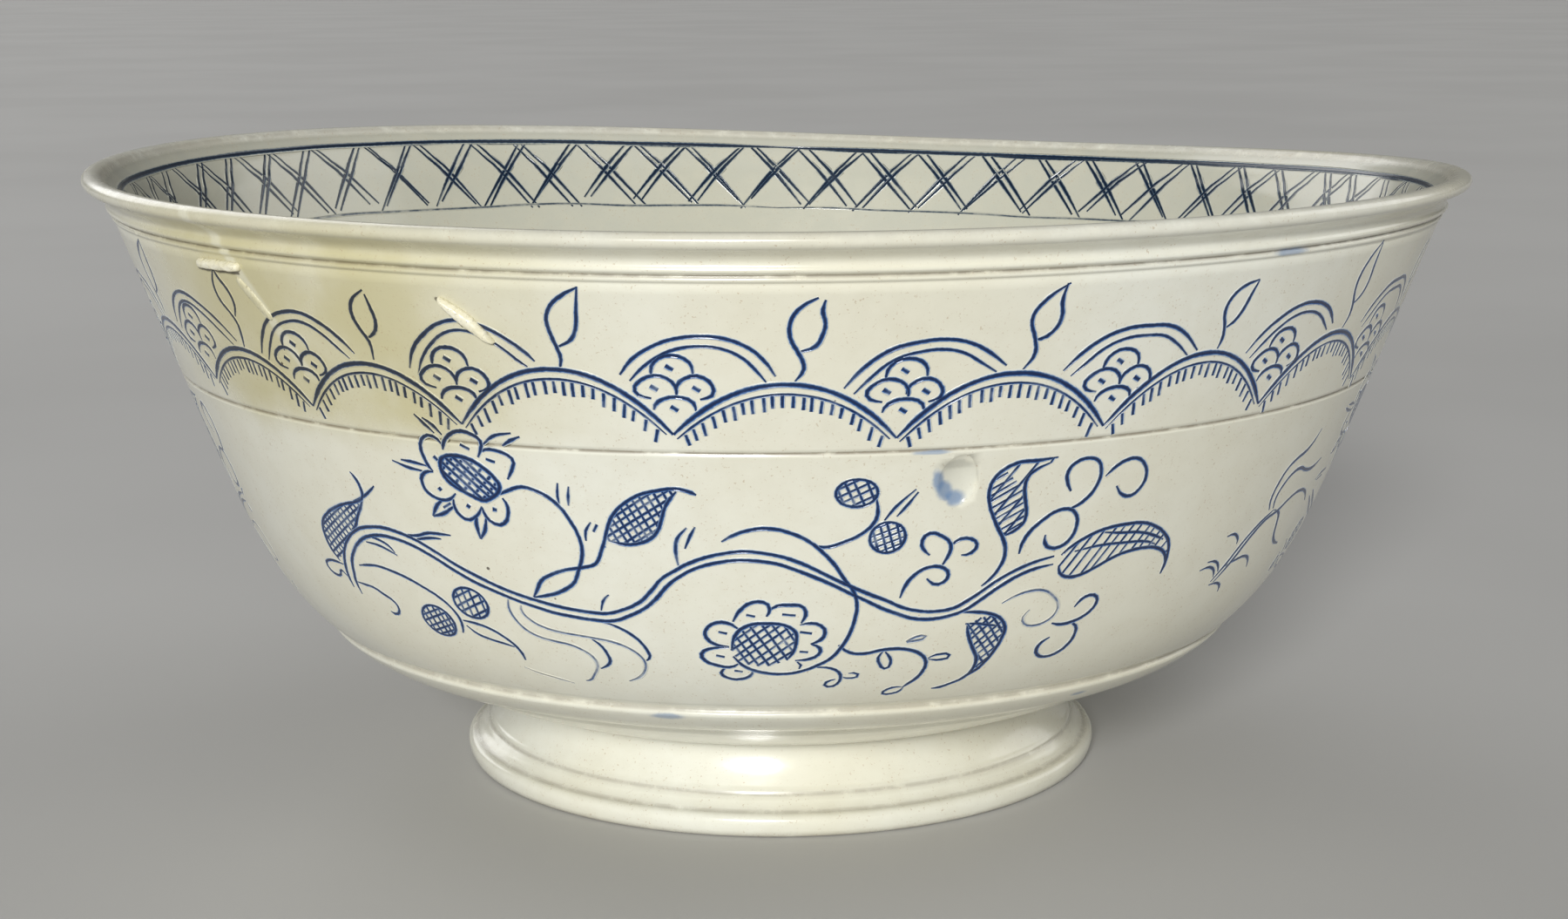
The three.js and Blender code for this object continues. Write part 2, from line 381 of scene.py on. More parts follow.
# Lays flat strokes on the wall and gives each a scratch's cross-section.
# A stroke's x is its way round at a set radius, its y the way along the wall's outline.
def scratchTree():
    inputs = [("Strokes", "Object", None), ("Wall", "Object", None), ("Section", "Object", None),
              ("Working Radius", "Float", 0.12), ("Step", "Float", 0.0009), ("Bake Rows", "Int", 80),
              ("Material", "Material", None)]
    tree, start, end = newTree("Scratch the Wall", "GeometryNodeTree", inputs, [("Geometry", "Geometry")])

    def shapeOf(name):
        return addNode(tree, "GeometryNodeObjectInfo", {"Object": start[name]}).outputs["Geometry"]

    line = addNode(tree, "GeometryNodeResampleCurve", {"Curve": shapeOf("Strokes"), "Length": start["Step"]},
                   mode="LENGTH").outputs[0]
    tilt = addNode(tree, "GeometryNodeInputCurveTilt").outputs[0]
    radius = addNode(tree, "GeometryNodeInputRadius").outputs[0]
    line = named(tree, line, "ink", tilt)
    line = addNode(tree, "GeometryNodeSetCurveTilt", {"Curve": line, "Tilt": 0.0}).outputs[0]

    x, y, _ = separate(tree, position(tree))
    angle = calc(tree, "DIVIDE", x, start["Working Radius"])
    sample = addNode(tree, "GeometryNodeSampleCurve", {"Curves": shapeOf("Wall"), "Length": y}, mode="LENGTH",
                     use_all_curves=True).outputs
    out, up, _ = separate(tree, sample["Position"])
    outward, upward, _ = separate(tree, sample["Tangent"])
    sine = calc(tree, "SINE", angle)
    cosine = calc(tree, "MULTIPLY", calc(tree, "COSINE", angle), -1.0)

    def turned(out, up):
        return combine(tree, calc(tree, "MULTIPLY", out, sine), calc(tree, "MULTIPLY", out, cosine), up)

    normal = turned(upward, calc(tree, "MULTIPLY", outward, -1.0))
    keep = addNode(tree, "GeometryNodeCaptureAttribute", domain="POINT")
    keep.capture_items.new("VECTOR", "Outward")
    tree.links.new(line, keep.inputs["Geometry"])
    tree.links.new(normal, keep.inputs["Outward"])
    line = addNode(tree, "GeometryNodeSetPosition", {"Geometry": keep.outputs["Geometry"],
                                                     "Position": turned(out, up)}).outputs[0]
    line = addKilnWarp(tree, line)
    line = addNode(tree, "GeometryNodeSetCurveNormal", {"Curve": line, "Normal": keep.outputs["Outward"]},
                   mode="FREE").outputs[0]

    length = addNode(tree, "GeometryNodeSplineLength").outputs["Length"]
    before = addNode(tree, "GeometryNodeAccumulateField", {"Value": length}, data_type="FLOAT",
                     domain="CURVE").outputs
    onSpline = addNode(tree, "GeometryNodeSplineParameter").outputs["Length"]
    line = named(tree, line, "way", calc(tree, "ADD", onSpline, before["Trailing"]))
    line = named(tree, line, "allWay", before["Total"])
    _, across, _ = separate(tree, position(tree))
    section = named(tree, shapeOf("Section"), "across", calc(tree, "MULTIPLY", across, 1 / mm))
    body = addNode(tree, "GeometryNodeCurveToMesh", {
        "Curve": line, "Profile Curve": section, "Fill Caps": True, "Scale": radius}).outputs[0]

    # its bake map is the strokes laid end to end, cut into rows
    def read(name):
        return addNode(tree, "GeometryNodeInputNamedAttribute", {"Name": name}, data_type="FLOAT").outputs[0]

    rowLength = calc(tree, "DIVIDE", calc(tree, "MULTIPLY", read("allWay"), 1.001), start["Bake Rows"])
    middle = addNode(tree, "GeometryNodeFieldOnDomain", {0: read("way")}, domain="FACE", data_type="FLOAT")
    row = calc(tree, "FLOOR", calc(tree, "DIVIDE", middle.outputs[0], rowLength))
    u = calc(tree, "SUBTRACT", calc(tree, "DIVIDE", read("way"), rowLength), row)
    u = calc(tree, "MULTIPLY_ADD", u, 0.98, 0.01)
    v = calc(tree, "MULTIPLY_ADD", read("across"), 0.4, calc(tree, "ADD", row, 0.5))
    v = calc(tree, "DIVIDE", v, start["Bake Rows"])
    body = named(tree, body, "OFBake", combine(tree, u, v), "FLOAT2", "CORNER")
    finishTree(tree, body, start, end)
    return tree


print("building the node trees")
kilnWarpTree = kilnWarpGroup()
turnTree = turningTree()
lineTree = scratchTree()


# Surface finishes
def mixColours(tree, amount, first, second):
    return addNode(tree, "ShaderNodeMix", {0: amount, 6: first, 7: second}, data_type="RGBA").outputs[2]


def ramp(tree, value, low, high, start=0.0, end=1.0):
    node = addNode(tree, "ShaderNodeMapRange", {0: value, 1: low, 2: high, 3: start, 4: end}, clamp=True)
    node.interpolation_type = "SMOOTHSTEP"
    return node.outputs[0]


def noise(tree, vector, scale, detail=2.0, roughness=0.5):
    return addNode(tree, "ShaderNodeTexNoise", {"Vector": vector, "Scale": scale, "Detail": detail,
                                                "Roughness": roughness}).outputs[0]


def wander(tree, vector, scale, amount, roughness=0.6):   # from minus to plus half the amount
    level = calc(tree, "SUBTRACT", noise(tree, vector, scale, 3.0, roughness), 0.5)
    return calc(tree, "MULTIPLY", level, amount)


def objectPlace(tree):
    return addNode(tree, "ShaderNodeTexCoord").outputs["Object"]


def vectorMath(tree, operation, *values):
    return addNode(tree, "ShaderNodeVectorMath", dict(enumerate(values)), operation=operation).outputs


def colour(red, green, blue):
    def linear(level):
        level /= 255
        return level / 12.92 if level <= 0.04045 else ((level + 0.055) / 1.055) ** 2.4

    return (linear(red), linear(green), linear(blue), 1.0)


glaze = {
    "cream": colour(238, 238, 225),
    "deepCream": colour(233, 230, 210),
    "mottled": colour(214, 208, 184),
    # painted shade: a darker copy of the cream for the inside of the bowl
    "shadedInsideCream": colour(180, 180, 164),
    "restored": colour(206, 199, 158),
    "brushed": colour(232, 230, 210),
    # brown dirt, also painted as shade in the grooves and creases
    "grime": colour(100, 84, 62),
    "freckle": colour(176, 146, 104),
    "rust": colour(172, 118, 74),
    "iron": colour(58, 44, 34),
    "pooled": colour(104, 138, 180),
    "bareBody": colour(222, 222, 208),
    "flakeShade": colour(150, 148, 134),
    # painted shade for the crevices beside the raised repairs
    "creviceShade": colour(66, 54, 38),
    "gloss": (0.17, 0.27),   # least and most roughness
}
glazeRelief = {   # in mm
    "orangePeel": 0.011,
    "throwing": 0.022,
    "dents": 0.13,
    "specks": -0.05,
    "brushwork": 0.06,
}
glazedSurface = {"IOR": 1.5, "Coat Weight": 0.25, "Coat Roughness": 0.12}
restoring = {   # degrees round and heights in mm, each pair from where it starts to where it is full
    "leftEdge": (-68, -46),
    "rightEdge": (-33, -8),
    "lowEdge": (84.0, 95.0),
    "highEdge": (124.0, 130.0),
    "wobble": 16.0,
    "bandTop": (-46.5, 126.0),   # an angle and a height
    "bandLean": 0.24,   # degrees for each mm down
    "bandSide": (0.3, 0.95),
    "bandEnd": (96.0, 101.0),
}
cobalt = {
    "deep": colour(4, 34, 80),
    "washed": colour(48, 104, 170),
    "halo": colour(156, 184, 214),
    "restored": colour(44, 48, 46),
}


# Salt glaze on pale stoneware. Everything in it follows the object's own coordinates.
def glazeGroup():
    inputs = [("Cream", "Color", glaze["cream"]), ("Deep Cream", "Color", glaze["deepCream"]),
              ("Shaded Inside Cream", "Color", glaze["shadedInsideCream"]), ("Restored", "Color", glaze["restored"]),
              ("Grime Colour", "Color", glaze["grime"]), ("Inside", "Float", 0.0), ("Grime And Shade", "Float", 0.0),
              ("Restoring", "Float", 1.0)]
    outputs = [("Color", "Color"), ("Roughness", "Float"), ("Height", "Float"), ("Restored", "Float")]
    tree, start, end = newTree("Salt Glaze", "ShaderNodeTree", inputs, outputs)
    place = objectPlace(tree)
    x, y, z = separate(tree, place)
    angle = angleRound(tree, x, y)
    height = calc(tree, "MULTIPLY", z, 1 / mm)
    outside = calc(tree, "SUBTRACT", 1.0, start["Inside"], clamp=True)

    broad = noise(tree, place, 14.0, 3.0)
    mottle = noise(tree, place, 170.0, 4.0, 0.6)
    fine = noise(tree, place, 1900.0, 2.0)
    tone = mixColours(tree, ramp(tree, broad, 0.3, 0.72), start["Cream"], start["Deep Cream"])
    # painted shade: the inside takes a darker copy of the cream
    tone = mixColours(tree, calc(tree, "MULTIPLY", start["Inside"], 0.75), tone, start["Shaded Inside Cream"])
    tone = mixColours(tree, ramp(tree, mottle, 0.3, 0.75, 0.0, 0.22), tone, glaze["mottled"])

    # restorer's paint round the crack on the left of the front, thinning to the right
    centre = ramp(tree, angle, *map(math.radians, restoring["leftEdge"]))
    fade = ramp(tree, angle, *map(math.radians, restoring["rightEdge"]), 1.0, 0.0)
    wobble = wander(tree, place, 45.0, restoring["wobble"], 0.5)
    low = ramp(tree, calc(tree, "ADD", height, wobble), *restoring["lowEdge"])
    high = ramp(tree, height, *restoring["highEdge"], 1.0, 0.35)
    patchy = ramp(tree, noise(tree, place, 60.0, 4.0), 0.25, 0.6, 0.55, 1.0)
    restored = product(tree, centre, fade, low, high, outside, start["Restoring"], patchy)
    tone = mixColours(tree, restored, tone, start["Restored"])

    # a pale brushed band where the crack was filled, from the rim down to the border
    bandAngle, bandHeight = restoring["bandTop"]
    drift = calc(tree, "MULTIPLY_ADD", calc(tree, "SUBTRACT", bandHeight, height),
                 math.radians(restoring["bandLean"]), math.radians(bandAngle))
    away = calc(tree, "ABSOLUTE", calc(tree, "SUBTRACT", angle, drift))
    band = ramp(tree, away, *map(math.radians, restoring["bandSide"]), 1.0, 0.0)
    band = product(tree, band, ramp(tree, height, *restoring["bandEnd"]), outside, start["Restoring"])
    tone = mixColours(tree, calc(tree, "MULTIPLY", band, 0.55), tone, glaze["brushed"])

    def dots(scale, channel, least, largest, soft):
        cells = addNode(tree, "ShaderNodeTexVoronoi", {"Vector": place, "Scale": scale}).outputs
        pick = addNode(tree, "ShaderNodeSeparateColor", {0: cells["Color"]}).outputs[channel]
        size = ramp(tree, pick, least, 1.0, 0.0, largest)
        return ramp(tree, calc(tree, "SUBTRACT", size, cells["Distance"]), 0.0, soft)

    # tan freckles, iron specks, rust near the rim, and brown dirt with painted shade in the turned lines
    freckle = calc(tree, "MULTIPLY", ramp(tree, fine, 0.64, 0.72), ramp(tree, mottle, 0.35, 0.65, 0.1, 0.5))
    tone = mixColours(tree, freckle, tone, glaze["freckle"])
    speck = dots(78.0, 0, 0.5, 0.036, 0.012)
    tone = mixColours(tree, calc(tree, "MULTIPLY", speck, 0.85), tone, glaze["iron"])
    nearRim = ramp(tree, height, 118.0, 127.0, 0.12, 0.8)
    rust = calc(tree, "MULTIPLY", dots(330.0, 1, 0.35, 0.06, 0.03), nearRim)
    tone = mixColours(tree, rust, tone, glaze["rust"])
    # dirt and painted shade in the grooves, undercuts and creases, from the outline's values
    grain = ramp(tree, noise(tree, place, 240.0, 4.0, 0.65), 0.2, 0.56)
    creaseDirtAndShade = product(tree, start["Grime And Shade"], grain, calc(tree, "SUBTRACT", 1.0, band))
    tone = mixColours(tree, calc(tree, "MULTIPLY", creaseDirtAndShade, 0.85), tone, start["Grime Colour"])

    stretched = addNode(tree, "ShaderNodeMapping", {"Vector": place, "Scale": (6.0, 6.0, 330.0)}).outputs[0]
    brushed = calc(tree, "MULTIPLY", calc(tree, "ADD", band, restored), noise(tree, place, 260.0, 3.0))
    layers = {"orangePeel": noise(tree, place, 620.0, 2.0), "throwing": noise(tree, stretched, 1.0, 3.0),
              "dents": noise(tree, place, 55.0, 2.0), "specks": speck, "brushwork": brushed}
    relief = 0.0
    for name, layer in layers.items():
        relief = calc(tree, "MULTIPLY_ADD", layer, glazeRelief[name], relief)
    gloss = ramp(tree, mottle, 0.25, 0.8, *glaze["gloss"])
    gloss = calc(tree, "MULTIPLY_ADD", restored, 0.12, gloss)
    gloss = calc(tree, "MULTIPLY_ADD", creaseDirtAndShade, 0.25, gloss, clamp=True)
    for name, value in (("Color", tone), ("Roughness", gloss), ("Height", relief), ("Restored", restored)):
        tree.links.new(value, end[name])
    arrangeNodes(tree)
    return tree


# Cobalt lying in a scratch: dark in the middle, washed at its edges, with a pale halo over the burr
def cobaltGroup():
    inputs = [("Glaze", "Color", glaze["cream"]), ("Across", "Float", 0.0), ("Ink", "Float", 1.0),
              ("Restored", "Float", 0.0), ("Deep", "Color", cobalt["deep"]),
              ("Washed", "Color", cobalt["washed"]), ("Halo", "Color", cobalt["halo"]),
              ("Overpainted", "Color", cobalt["restored"])]
    tree, start, end = newTree("Cobalt in a Scratch", "ShaderNodeTree", inputs,
                               [("Color", "Color"), ("Groove", "Float")])
    place = objectPlace(tree)
    plainSide = calc(tree, "ABSOLUTE", start["Across"])
    side = calc(tree, "ADD", plainSide, wander(tree, place, 1100.0, 0.42))
    past = calc(tree, "SUBTRACT", side, calc(tree, "MULTIPLY_ADD", start["Ink"], 0.3, 0.26))
    patchy = ramp(tree, noise(tree, place, 210.0, 3.0, 0.6), 0.3, 0.6)
    strength = calc(tree, "MULTIPLY_ADD", start["Ink"], 0.75, calc(tree, "MULTIPLY", patchy, 0.35))
    strength = ramp(tree, strength, 0.05, 0.85, 0.1, 1.0)
    washed = calc(tree, "MULTIPLY", ramp(tree, past, -0.12, 0.16, 1.0, 0.0), strength)
    core = calc(tree, "MULTIPLY", ramp(tree, past, -0.38, -0.03, 1.0, 0.0), strength)
    halo = product(tree, ramp(tree, side, 0.45, 1.0, 1.0, 0.0), start["Ink"], 0.6)
    edge = mixColours(tree, start["Restored"], start["Halo"], start["Glaze"])
    dulled = calc(tree, "MULTIPLY", start["Restored"], 0.8)
    tone = mixColours(tree, halo, start["Glaze"], edge)
    tone = mixColours(tree, washed, tone, mixColours(tree, dulled, start["Washed"], start["Overpainted"]))
    tone = mixColours(tree, core, tone, mixColours(tree, dulled, start["Deep"], start["Overpainted"]))
    groove = calc(tree, "ADD", ramp(tree, plainSide, 0.15, 0.6, -0.13, 0.05),
                  ramp(tree, plainSide, 0.7, 1.0, 0.0, -0.05))
    tree.links.new(tone, end["Color"])
    tree.links.new(groove, end["Groove"])
    arrangeNodes(tree)
    return tree


def newMaterial(name, settings):
    material = bpy.data.materials.new(name)
    material.use_nodes = True
    tree = material.node_tree
    tree.nodes.clear()
    surface = addNode(tree, "ShaderNodeBsdfPrincipled", settings)
    output = tree.nodes.new("ShaderNodeOutputMaterial")
    tree.links.new(surface.outputs[0], output.inputs["Surface"])
    return material, tree, surface


def useGroup(tree, group, values):
    return addNode(tree, "ShaderNodeGroup", values, node_tree=group).outputs


def attribute(tree, name):
    return addNode(tree, "ShaderNodeAttribute", attribute_name=name).outputs["Fac"]


def finishSurface(tree, surface, tone, roughness, height):   # the height is in millimetres
    tree.links.new(tone, surface.inputs["Base Color"])
    tree.links.new(roughness, surface.inputs["Roughness"])
    bump = addNode(tree, "ShaderNodeBump", {"Height": height, "Distance": mm, "Strength": 1.0})
    tree.links.new(bump.outputs[0], surface.inputs["Normal"])
    arrangeNodes(tree)


def glazeMaterial(name, restored=1.0, spots=False):
    material, tree, surface = newMaterial(name, glazedSurface)
    coat = useGroup(tree, glazeTree, {"Grime And Shade": attribute(tree, "grime"), "Inside": attribute(tree, "inside"),
                                      "Restoring": restored})
    tone = addSpots(tree, coat["Color"]) if spots else coat["Color"]
    finishSurface(tree, surface, tone, coat["Roughness"], coat["Height"])
    return material


def onWall(angle, height, lift=0.0):
    around = math.radians(angle)
    slope = wallSlope(height)
    out = wallRadius(height) + lift * math.sin(slope)
    up = height - lift * math.cos(slope)
    up += wallLift(around, up)
    return out * math.sin(around) * mm, -out * math.cos(around) * mm, up * mm


# Where a spot on the wall is, with soft, ragged edges. Sizes are half widths in millimetres.
def spotMask(tree, angle, height, offset, size, soft):
    place = objectPlace(tree)
    spot = Vector(onWall(angle, height)) + Vector((offset[0], 0, offset[1])) * mm
    centred = vectorMath(tree, "SUBTRACT", place, tuple(spot))[0]
    spread = vectorMath(tree, "MULTIPLY", centred, (1 / size[0] / mm, 0.12 / mm, 1 / size[1] / mm))[0]
    far = vectorMath(tree, "LENGTH", spread)["Value"]
    far = calc(tree, "ADD", far, wander(tree, place, 420.0, 0.9))
    return ramp(tree, far, 1.0 - soft, 1.0 + soft, 1.0, 0.0)


# Painted shade in the crevice beside a raised repair, along a line between two spots on the wall
def creviceShadeMask(tree, start, end, wide):
    place = objectPlace(tree)
    first = Vector(onWall(*start))
    along = Vector(onWall(*end)) - first
    fromFirst = vectorMath(tree, "SUBTRACT", place, tuple(first))[0]
    share = vectorMath(tree, "DOT_PRODUCT", fromFirst, tuple(along / along.length_squared))["Value"]
    share = calc(tree, "MULTIPLY", share, 1.0, clamp=True)
    step = addNode(tree, "ShaderNodeVectorMath", {0: tuple(along), "Scale": share}, operation="SCALE")
    apart = vectorMath(tree, "DISTANCE", fromFirst, step.outputs[0])["Value"]
    apart = calc(tree, "ADD", apart, wander(tree, place, 500.0, wide * 1.2 * mm))
    return ramp(tree, apart, wide * 0.4 * mm, wide * mm, 1.0, 0.0)


# The flaked chip shows bare body, with cobalt that ran along its lower left and a painted shade along its
# upper edge.
# Elsewhere the brush touched the wall.
def addSpots(tree, plain):
    marks = [(chip["angle"], chip["height"], *mark) for mark in chip["marks"]]
    marks += [(angle, height, (0, 0), size, 0.5, 0.6, "pooled") for angle, height, size in touches]
    tone = plain
    for angle, height, offset, size, soft, strength, name in marks:
        mask = spotMask(tree, angle, height, offset, size, soft)
        tone = mixColours(tree, calc(tree, "MULTIPLY", mask, strength), tone, glaze[name])
    # painted shade in the crevices beside the raised repairs
    for start, end, wide in creviceShades:
        dark = creviceShadeMask(tree, start, end, wide)
        tone = mixColours(tree, calc(tree, "MULTIPLY", dark, 0.75), tone, glaze["creviceShade"])
    return mixColours(tree, attribute(tree, "inside"), tone, plain)


def cobaltMaterial(name, tones, inside=0.0, restored=1.0):
    material, tree, surface = newMaterial(name, glazedSurface)
    coat = useGroup(tree, glazeTree, {"Inside": inside, "Restoring": restored})
    ink = useGroup(tree, cobaltTree, {
        "Glaze": coat["Color"], "Restored": coat["Restored"], "Across": attribute(tree, "across"),
        "Ink": attribute(tree, "ink"), "Deep": tones["deep"], "Washed": tones["washed"],
        "Halo": tones["halo"]})
    height = calc(tree, "ADD", coat["Height"], ink["Groove"])
    finishSurface(tree, surface, ink["Color"], coat["Roughness"], height)
    return material


chip = {   # sizes in mm
    "angle": 14.1,
    "height": 82.4,
    "width": 7.6,
    "tall": 8.8,
    "depth": 0.7,
    "lean": (0.1581, 0.0629),
    "marks": [   # offset, half sizes, softness, strength, colour
        ((0.5, 0.3), (3.5, 4.0), 0.14, 0.6, "bareBody"),
        # painted shade along the chip's upper edge
        ((0.2, 3.5), (3.4, 0.8), 0.5, 0.35, "flakeShade"),
        ((-2.9, 0.8), (1.0, 1.8), 0.45, 0.75, "pooled"),
        ((-1.7, -1.3), (1.3, 1.6), 0.45, 0.75, "pooled"),
        ((0.2, -2.9), (1.5, 1.4), 0.45, 0.75, "pooled"),
    ],
}
touches = [   # degrees round, height, half sizes in mm
    (12.0, 88.4, (3.2, 0.35)), (40.5, 120.2, (3.0, 0.6)), (-12.5, 33.4, (3.0, 0.7)), (37.5, 32.0, (1.6, 0.5)),
]
# painted shade along the edges of the raised repairs
creviceShades = [   # from, to (degrees round, height), half width in mm
    ((-50.2, 116.2), (-44.5, 116.45), 0.5),
    ((-24.9, 115.3), (-23.25, 110.75), 0.45),
    ((-23.25, 110.75), (-20.7, 107.4), 0.45),
]
# painted shade: darker copies of the cobalt for the trellis inside the bowl
shadedCobalt = {"deep": colour(10, 28, 50), "washed": colour(48, 76, 100), "halo": colour(160, 168, 164)}

print("building the finishes")
glazeTree = glazeGroup()
cobaltTree = cobaltGroup()
bodyGlaze = glazeMaterial("bodyGlaze", spots=True)
footGlaze = glazeMaterial("footGlaze", restored=0.0)
cobaltLine = cobaltMaterial("cobaltLine", cobalt)
shadedInsideCobalt = cobaltMaterial("shadedInsideCobalt", shadedCobalt, inside=1.0, restored=0.0)


# Outlines, and the wall as a line that strokes are laid along
outsideLine = underside() + lowerBead() + outerWall() + rimMoulding()
insideLine = innerWall()
bodyOutline = outlineCurve("bodyOutline", outsideLine + insideLine, len(outsideLine))
footRing = outlineCurve("footOutline", footOutline())
wallLine = [(90, 29.744, 0), (bowl["beadRadius"], bowl["beadHeight"], 0)]   # starts under the lower bead
wallLine += [(wallRadius(z), z, 0) for z in evenly(bowl["beadHeight"] + 0.5, rimBase + 2, 90)]
outsideWall = outlineCurve("outsideWall", wallLine)
insideWall = outlineCurve("insideWall", [rimMoulding()[-1]] + insideLine)

print("turning the body and the foot")
body = growMesh("bowlBody", turnTree, {
    "Outline": bodyOutline, "Segments": bowl["segments"], "Material": bodyGlaze})
footPiece = growMesh("footRing", turnTree, {
    "Outline": footRing, "Segments": foot["segments"], "Material": footGlaze})


# Scratched strokes. A point is how many degrees it lies round from the front,
# and how many millimetres along the wall from where its line starts.
scratch = {
    "workingRadius": 110.0,
    "step": 0.9,
    "insideStep": 0.75,
    "width": (0.88, 1.08),
    "strokeEnd": 0.5,
    "dashEnd": 0.9,
    "ink": (0.85, 1.0),
    "endInk": (0.5, 0.9),
    "styles": {   # half width in mm with its burr, and how full of cobalt it is
        "heavy": (1.1, 1.0),
        "bold": (0.92, 1.0),
        "line": (0.74, 0.97),
        "fine": (0.62, 0.9),
        "thin": (0.52, 0.75),
        "hatch": (0.6, 0.95),
        "tick": (0.7, 1.0),
        "dry": (0.62, 0.35),
        "bare": (0.7, 0.0),
    },
    "section": [(-0.08, -1.0), (0.04, -0.72), (0.08, -0.4), (0.09, 0.0), (0.08, 0.4), (0.04, 0.72),
                (-0.08, 1.0)],   # height, across
}
chance = random.Random(7)


def strokeCurve(name, strokes):
    curve = bpy.data.curves.new(name, "CURVE")
    curve.dimensions = "3D"
    perDegree = math.radians(1) * scratch["workingRadius"] * mm
    for style, points in strokes:
        half, ink = scratch["styles"][style]
        spline = curve.splines.new("BEZIER")
        spline.resolution_u = 6
        last = len(points) - 1
        spline.bezier_points.add(last)
        endWidth = scratch["dashEnd"] if last < 2 else scratch["strokeEnd"]
        for i, (spot, (angle, up)) in enumerate(zip(spline.bezier_points, points)):
            end = i in (0, last) and points[0] != points[-1]
            spot.co = (angle * perDegree, up * mm, 0)
            spot.handle_left_type = spot.handle_right_type = "AUTO"
            spot.radius = half * (endWidth if end else chance.uniform(*scratch["width"]))
            spot.tilt = ink * chance.uniform(*scratch["endInk" if end else "ink"])
    return addToScene(name, curve)


def sectionCurve():
    curve = bpy.data.curves.new("scratchSection", "CURVE")
    curve.dimensions = "3D"
    spline = curve.splines.new("POLY")
    spline.points.add(len(scratch["section"]) - 1)
    for spot, (height, across) in zip(spline.points, scratch["section"]):
        spot.co = (height * mm, across * mm, 0, 1)
    spline.use_cyclic_u = True
    return addToScene("scratchSection", curve)


def shifted(strokes, turn, rise=0.0, squeeze=1.0, least=-200.0, most=200.0):
    moved = []
    for style, points in strokes:
        kept = [(angle * squeeze + turn, up + rise) for angle, up in points if least <= angle <= most]
        if len(kept) > 1:
            moved.append((style, kept))
    return moved


# Parallel strokes that stop at an outline, wandering a little
def hatched(outline, spacing, lean, style="hatch", reach=0.0):
    perDegree = math.radians(1) * scratch["workingRadius"]
    flat = [(angle * perDegree, up) for angle, up in outline]
    along = Vector((math.cos(math.radians(lean)), math.sin(math.radians(lean))))
    aside = Vector((-along.y, along.x))
    offsets = [aside.dot(Vector(p)) for p in flat]
    strokes = []
    level = min(offsets) + spacing * 0.7
    while level < max(offsets) - spacing * 0.3:
        hits = []
        for i, p in enumerate(flat):
            q = flat[(i + 1) % len(flat)]
            a, b = offsets[i] - level, offsets[(i + 1) % len(flat)] - level
            if a * b < 0:
                t = a / (a - b)
                hits.append(along.dot(Vector((p[0] + (q[0] - p[0]) * t, p[1] + (q[1] - p[1]) * t))))
        hits.sort()
        for low, high in zip(hits[::2], hits[1::2]):
            if high - low > 0.8:
                ends = []
                for reachOut in (low - reach * chance.random(), high + reach * chance.random()):
                    spot = along * reachOut + aside * (level + chance.uniform(-0.12, 0.12))
                    ends.append((spot.x / perDegree, spot.y))
                strokes.append((style, ends))
        level += spacing * chance.uniform(0.85, 1.15)
    return strokes


def oval(angle, up, wide, tall, count=12):
    turns = [math.tau * i / count for i in range(count + 1)]
    return [(angle + math.cos(turn) * wide, up + math.sin(turn) * tall) for turn in turns]


def crossed(outline, *passes):   # hatching in more than one direction
    return [stroke for spacing, lean in passes for stroke in hatched(outline, spacing, lean)]


def fruit(angle, up, wide, tall, *passes):
    outline = oval(angle, up, wide, tall)
    return [("fine", outline), *crossed(outline, *passes)]


# The scalloped border under the rim
border = {
    "cusps": [-56.2, -41.0, -25.4, -8.0, 9.0, 26.3, 43.2, 60.0],
    "cuspHeights": [76.5, 75.5, 75.5, 75.5, 74.5, 74.2, 74.2, 74.0],
    "crowns": [85.0, 86.0, 87.6, 85.4, 86.2, 86.8, 86.4],
    "usualCusp": 75.0,
    "usualCrown": 86.3,
    "scallops": 22,
    "ticks": 21,
    "tickLength": 2.6,
    "innerDrop": 1.9,
}


def scallopCusps():
    cusps = list(zip(border["cusps"], border["cuspHeights"]))
    count = border["scallops"] - len(cusps) + 1
    gap = (360 + cusps[0][0] - cusps[-1][0]) / count
    for i in range(1, count):
        cusps.append((cusps[-1][0] + gap, border["usualCusp"] + chance.uniform(-0.7, 0.7)))
    return cusps


def scallopStrokes():
    cusps = scallopCusps()
    strokes = []
    for i, (left, leftUp) in enumerate(cusps):
        right, rightUp = cusps[(i + 1) % len(cusps)]
        right += 360 if right < left else 0
        if i < len(border["crowns"]):
            crown = border["crowns"][i]
        else:
            crown = border["usualCrown"] + chance.uniform(-0.8, 0.8)

        def arc(share, drop):
            base = leftUp + (rightUp - leftUp) * (share + 1) / 2
            up = base + (crown - base) * (1 - abs(share) ** 2.1)
            return left + (right - left) * (share + 1) / 2, up - drop

        def inner(share):
            return arc(share, border["innerDrop"] * (1 - 0.25 * abs(share) ** 3))

        strokes.append(("bold", [arc(share, 0) for share in evenly(-1, 1, 13)]))
        strokes.append(("thin", [inner(share) for share in evenly(-0.97, 0.94, 13)]))
        for share in evenly(-0.9, 0.86, border["ticks"]):
            share += chance.uniform(-0.012, 0.012)
            angle, up = arc(share, border["innerDrop"] + 0.15 + chance.uniform(0, 0.25))
            long = border["tickLength"] * chance.uniform(0.8, 1.1)
            strokes.append(("tick", [(angle, up), (angle - 0.3 * share, up - long)]))
    return strokes


